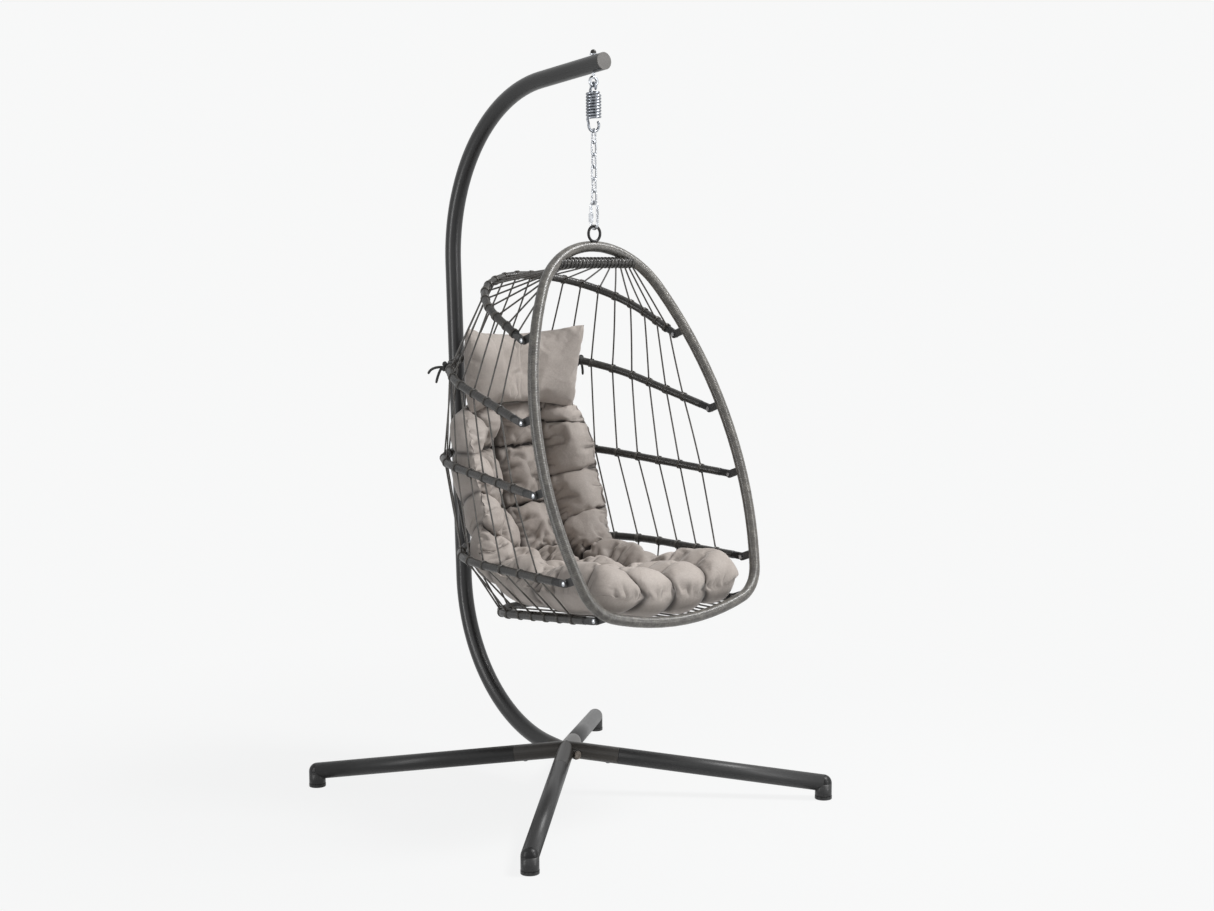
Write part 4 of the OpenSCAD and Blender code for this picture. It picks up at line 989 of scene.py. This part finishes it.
def seam_distances(s, t):
    """Distances from the nearest column seam and row seam, as shares of a cell."""
    def from_nearest(x, first, last):
        return np.abs(x - np.clip(np.round(x), first, last))

    return (from_nearest(column_at(s), 1, TUFT_COLS - 1),
            from_nearest(row_at(s, t), FIRST_ROW_SEAM, TUFT_ROWS))


LONG_FOLD, SHORT_FOLD = 47, 31
FOLD_START, FOLD_FADE = 7, 24
COLUMN_FOLD, ROW_FOLD, RIM_FOLD = 2.4, 2.0, 1.2
COLUMN_GROOVE, ROW_GROOVE, GROOVE_W = 10, 6, 5
# How wide the painted shade along the column and row seams is, as shares of a cell, and how dark it is at the rows.
COLUMN_SHADE_W, ROW_SHADE_W, ROW_SHADE = 0.12, 0.06, 0.85


def gathers(distance, along, phase):
    """Small folds that start at a seam and fade away from it."""
    wave = (np.sin(2 * np.pi * along / SHORT_FOLD + phase)
            + 0.7 * np.sin(2 * np.pi * along / LONG_FOLD + 2.3 * phase))
    return wave * np.clip(distance / FOLD_START, 0, 1) * np.exp(-distance / FOLD_FADE)


def pucker(mesh, s, t, is_rear):
    """Gathers of the cover along its sewn lines, and the lines drawn in, on the front skin."""
    across, along = s * pad_half_w(t), t * PAD_L
    column, row = seam_distances(s, t)
    column = column * pad_half_w(t) / 2
    row = row * PAD_L / TUFT_ROWS
    rim = (1 - np.abs(s)) * pad_half_w(t)
    fold = COLUMN_FOLD * gathers(column, along + 4 * np.sin(across / 60), np.round(column_at(s)) * 1.7)
    fold += ROW_FOLD * gathers(row, across + 4 * np.sin(along / 50), np.round(row_at(s, t)) * 2.9)
    fold += RIM_FOLD * gathers(rim, along, np.sign(s))
    fold -= (COLUMN_GROOVE * np.exp(-(column / GROOVE_W) ** 2) * np.clip(along / 25, 0, 1)
             + ROW_GROOVE * np.exp(-(row / GROOVE_W) ** 2))
    fold = np.where(is_rear | (rim < 1), 0, fold)
    move_to(mesh, vectors(mesh.vertices, "co") + vectors(mesh.vertices, "normal") * fold[:, None] * MM)


def cushion_front_t(s, t):
    """Front skin. The row seams are shallow on the right wing, and the column seams at the nose."""
    wing = rising(s, 0.5, 0.6) * rising(t, 0.3, 0.4)
    rows_in = 0.55 - 0.3 * wing
    columns_in = 0.5 + 0.42 * rising(t, 0.08, 0.28)
    columns = 1 - columns_in + columns_in * column_puff(s)
    rows = 1 - rows_in + rows_in * row_puff(s, t)
    return cushion_full_t(s, t) * columns * rows


def cushion_rear_t(s, t):
    """Rear skin, a little fuller under the nose on the right."""
    nose = 9 * (1 - rising(t, 0.03, 0.12)) * np.minimum(1, t * PAD_L / 30) * rising(s, -0.6, 0.2)
    return cushion_full_t(s, t) * (0.5 + 0.5 * column_puff(s) * row_puff(0, t)) * REAR_SHARE + nose


def cushion_pins(s, t, is_rear, column, row):
    """How firmly each point is held while the cover is blown up: most at the column seams and the rear."""
    on_column = column < np.where(t > 0.25, 0.06, 0.03)
    column_pin = np.where(t < 0.1, 0.6, 1.0)
    row_pin = np.where(row < 0.02, np.where(s > 0.5, 0.3, 0.6), 0.0)
    return np.where(is_rear, 1.0, np.where(on_column, column_pin, row_pin))


def make_cushion():
    cushion, st, is_rear = pad_shell("seat_cushion", cushion_mid, cushion_front_t, cushion_rear_t,
                                     TUFT_COLS * TUFT_COL_CELLS, TUFT_ROWS * TUFT_ROW_CELLS)
    s, t = st[:, 0], st[:, 1]
    column, row = seam_distances(s, t)
    inflate(cushion, cushion_pins(s, t, is_rear, column, row), pressure=3.0, grow=0.24, frames_n=20, cap=28)
    pucker(cushion.data, s, t, is_rear)
    # Painted shade along the sewn lines, kept as a mesh attribute for the cloth's material.
    lines = np.maximum(np.exp(-(column / COLUMN_SHADE_W) ** 2), ROW_SHADE * np.exp(-(row / ROW_SHADE_W) ** 2))
    cushion.data.attributes.new(SEAM_SHADE, "FLOAT", "POINT").data.foreach_set("value", lines.astype(np.float32))
    smoothed(cushion)
    return cushion


def flatten_with_fold(obj):
    """Gives a pad a mesh of its own."""
    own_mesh(obj)


cushion = make_cushion()
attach(cushion, "basket")
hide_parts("cushion")
flatten_with_fold(cushion)

PILLOW_AT = rib_rear(1) + (-66, -40)
PILLOW_LEAN = math.radians(-2)
PILLOW_R, PILLOW_W, PILLOW_H, PILLOW_T, PILLOW_SLIDE = 310.0, 400.0, 205.0, 74.0, 4.0
PILLOW_CELLS = (72, 40)


def pillow_mid(s, t):
    a = (s * PILLOW_W / 2 * (0.92 + 0.14 * t) + PILLOW_SLIDE) / PILLOW_R
    up = (t - 0.5) * PILLOW_H * (1 - 0.12 * (1 - s * s)) * (1 + 0.09 * np.abs(s))
    return np.stack([PILLOW_R * np.sin(a), PILLOW_AT[0] + up * math.tan(PILLOW_LEAN) - PILLOW_R * (1 - np.cos(a)),
                     PILLOW_AT[1] + up], -1)


def pillow_half_t(s, t):
    return PILLOW_T / 2 * ((1 - s**4) * (1 - (2 * t - 1) ** 4)) ** 0.5


def make_pillow():
    pillow, _, is_rear = pad_shell("head_pillow", pillow_mid, pillow_half_t, pillow_half_t, *PILLOW_CELLS)
    inflate(pillow, np.where(is_rear, 1.0, 0.0), pressure=2.0, grow=0.05, frames_n=18, cap=16)
    smoothed(pillow)
    return pillow


pillow = make_pillow()
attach(pillow, "basket")
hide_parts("pillow")
flatten_with_fold(pillow)

# ---- Finishes of the CAD nodes that stay ----

FINISH = {
    "frame": STEEL, "caps": CAP_PLASTIC, "arm_cap": ARM_CAP, "bright_bolts": ZINC, "dark_nut": DARK_NUT,
    "chain": ZINC, "basket_steel": BASKET_STEEL, "wound_tube": HOOP_RATTAN, "wound_bar": RIB_RATTAN,
    "rib_tube": BASKET_STEEL, "strands": STRAND, "cloth": CLOTH, "ties": TIE,
}
FINISH_OF_NODE = {"hub": HUB_STEEL, "mast_bolt": DULL_ZINC}


def finish_nodes():
    for sub in frame["record"]["subparts"]:
        obj = frame["nodes"][sub["node"]]
        obj.data.materials.clear()
        obj.data.materials.append(FINISH_OF_NODE.get(sub["node"], FINISH[sub["material_slot"]]))


finish_nodes()

# ---- Studio: pale floor, soft light, white background ----

WORLD_LIGHT = (0.31, 0.312, 0.316, 1)
SEEN_WHITE = (0.935, 0.938, 0.938, 1)
FLOOR_COLOUR = (0.93, 0.935, 0.935, 1)


def seen_white(n):
    """1 for rays that see the background: camera, glossy and transmission rays."""
    path = n.add("LightPath")
    either = n.math("MAXIMUM", path.outputs["Is Camera Ray"], path.outputs["Is Glossy Ray"])
    return n.math("MAXIMUM", either, path.outputs["Is Transmission Ray"])


def make_world():
    world = bpy.data.worlds.new("studio")
    scene.world = world
    n = Nodes(world)
    colour = n.mix(seen_white(n), WORLD_LIGHT, SEEN_WHITE)
    background = n.add("Background", {"Color": colour, "Strength": 1.0})
    n.add("OutputWorld", {"Surface": background.outputs[0]})


def make_floor():
    """A matte floor that takes the shadows and fades into the background further out."""
    bpy.ops.mesh.primitive_circle_add(vertices=96, radius=14, fill_type="NGON")
    floor = bpy.context.object
    floor.name = "floor"
    material, n = new_material("floor")
    position = n.add("NewGeometry").outputs["Position"]
    distance = n.add("VectorMath", {0: position}, operation="LENGTH").outputs["Value"]
    far = n.add("MapRange", {"Value": distance, "From Min": 0.7, "From Max": 2.2, "To Min": 0.92, "To Max": 1.0},
                interpolation_type="SMOOTHSTEP").outputs["Result"]
    matte = n.add("BsdfDiffuse", {"Color": FLOOR_COLOUR})
    glow = n.add("Emission", {"Color": SEEN_WHITE, "Strength": 1.0})
    share = n.math("MULTIPLY", far, seen_white(n))
    surface = n.add("MixShader", {0: share, 1: matte.outputs[0], 2: glow.outputs[0]})
    n.add("OutputMaterial", {"Surface": surface.outputs[0]})
    floor.data.materials.append(material)


def make_light(name, place, target, size, power):
    data = bpy.data.lights.new(name, "AREA")
    data.shape, data.size, data.size_y, data.energy = "RECTANGLE", size[0], size[1], power
    light = bpy.data.objects.new(name, data)
    scene.collection.objects.link(light)
    light.location = place
    light.rotation_euler = (Vector(target) - Vector(place)).to_track_quat("-Z", "Y").to_euler()
    return light


make_world()
make_floor()
make_light("key", (1.75, -1.9, 3.9), (0, -0.1, 0.8), (1.2, 1.2), 165)
make_light("fill", (-3.2, -2.4, 2.6), (0, 0, 0.9), (2.0, 2.0), 8)
# The strips give the tubes their highlights and light nothing else.
for name, place in (("left_strip", (-3.0, 0.4, 1.3)), ("right_strip", (1.2, -3.0, 1.3))):
    make_light(name, place, (0, 0.2, 1.0), (0.3, 2.4), 42).visible_diffuse = False
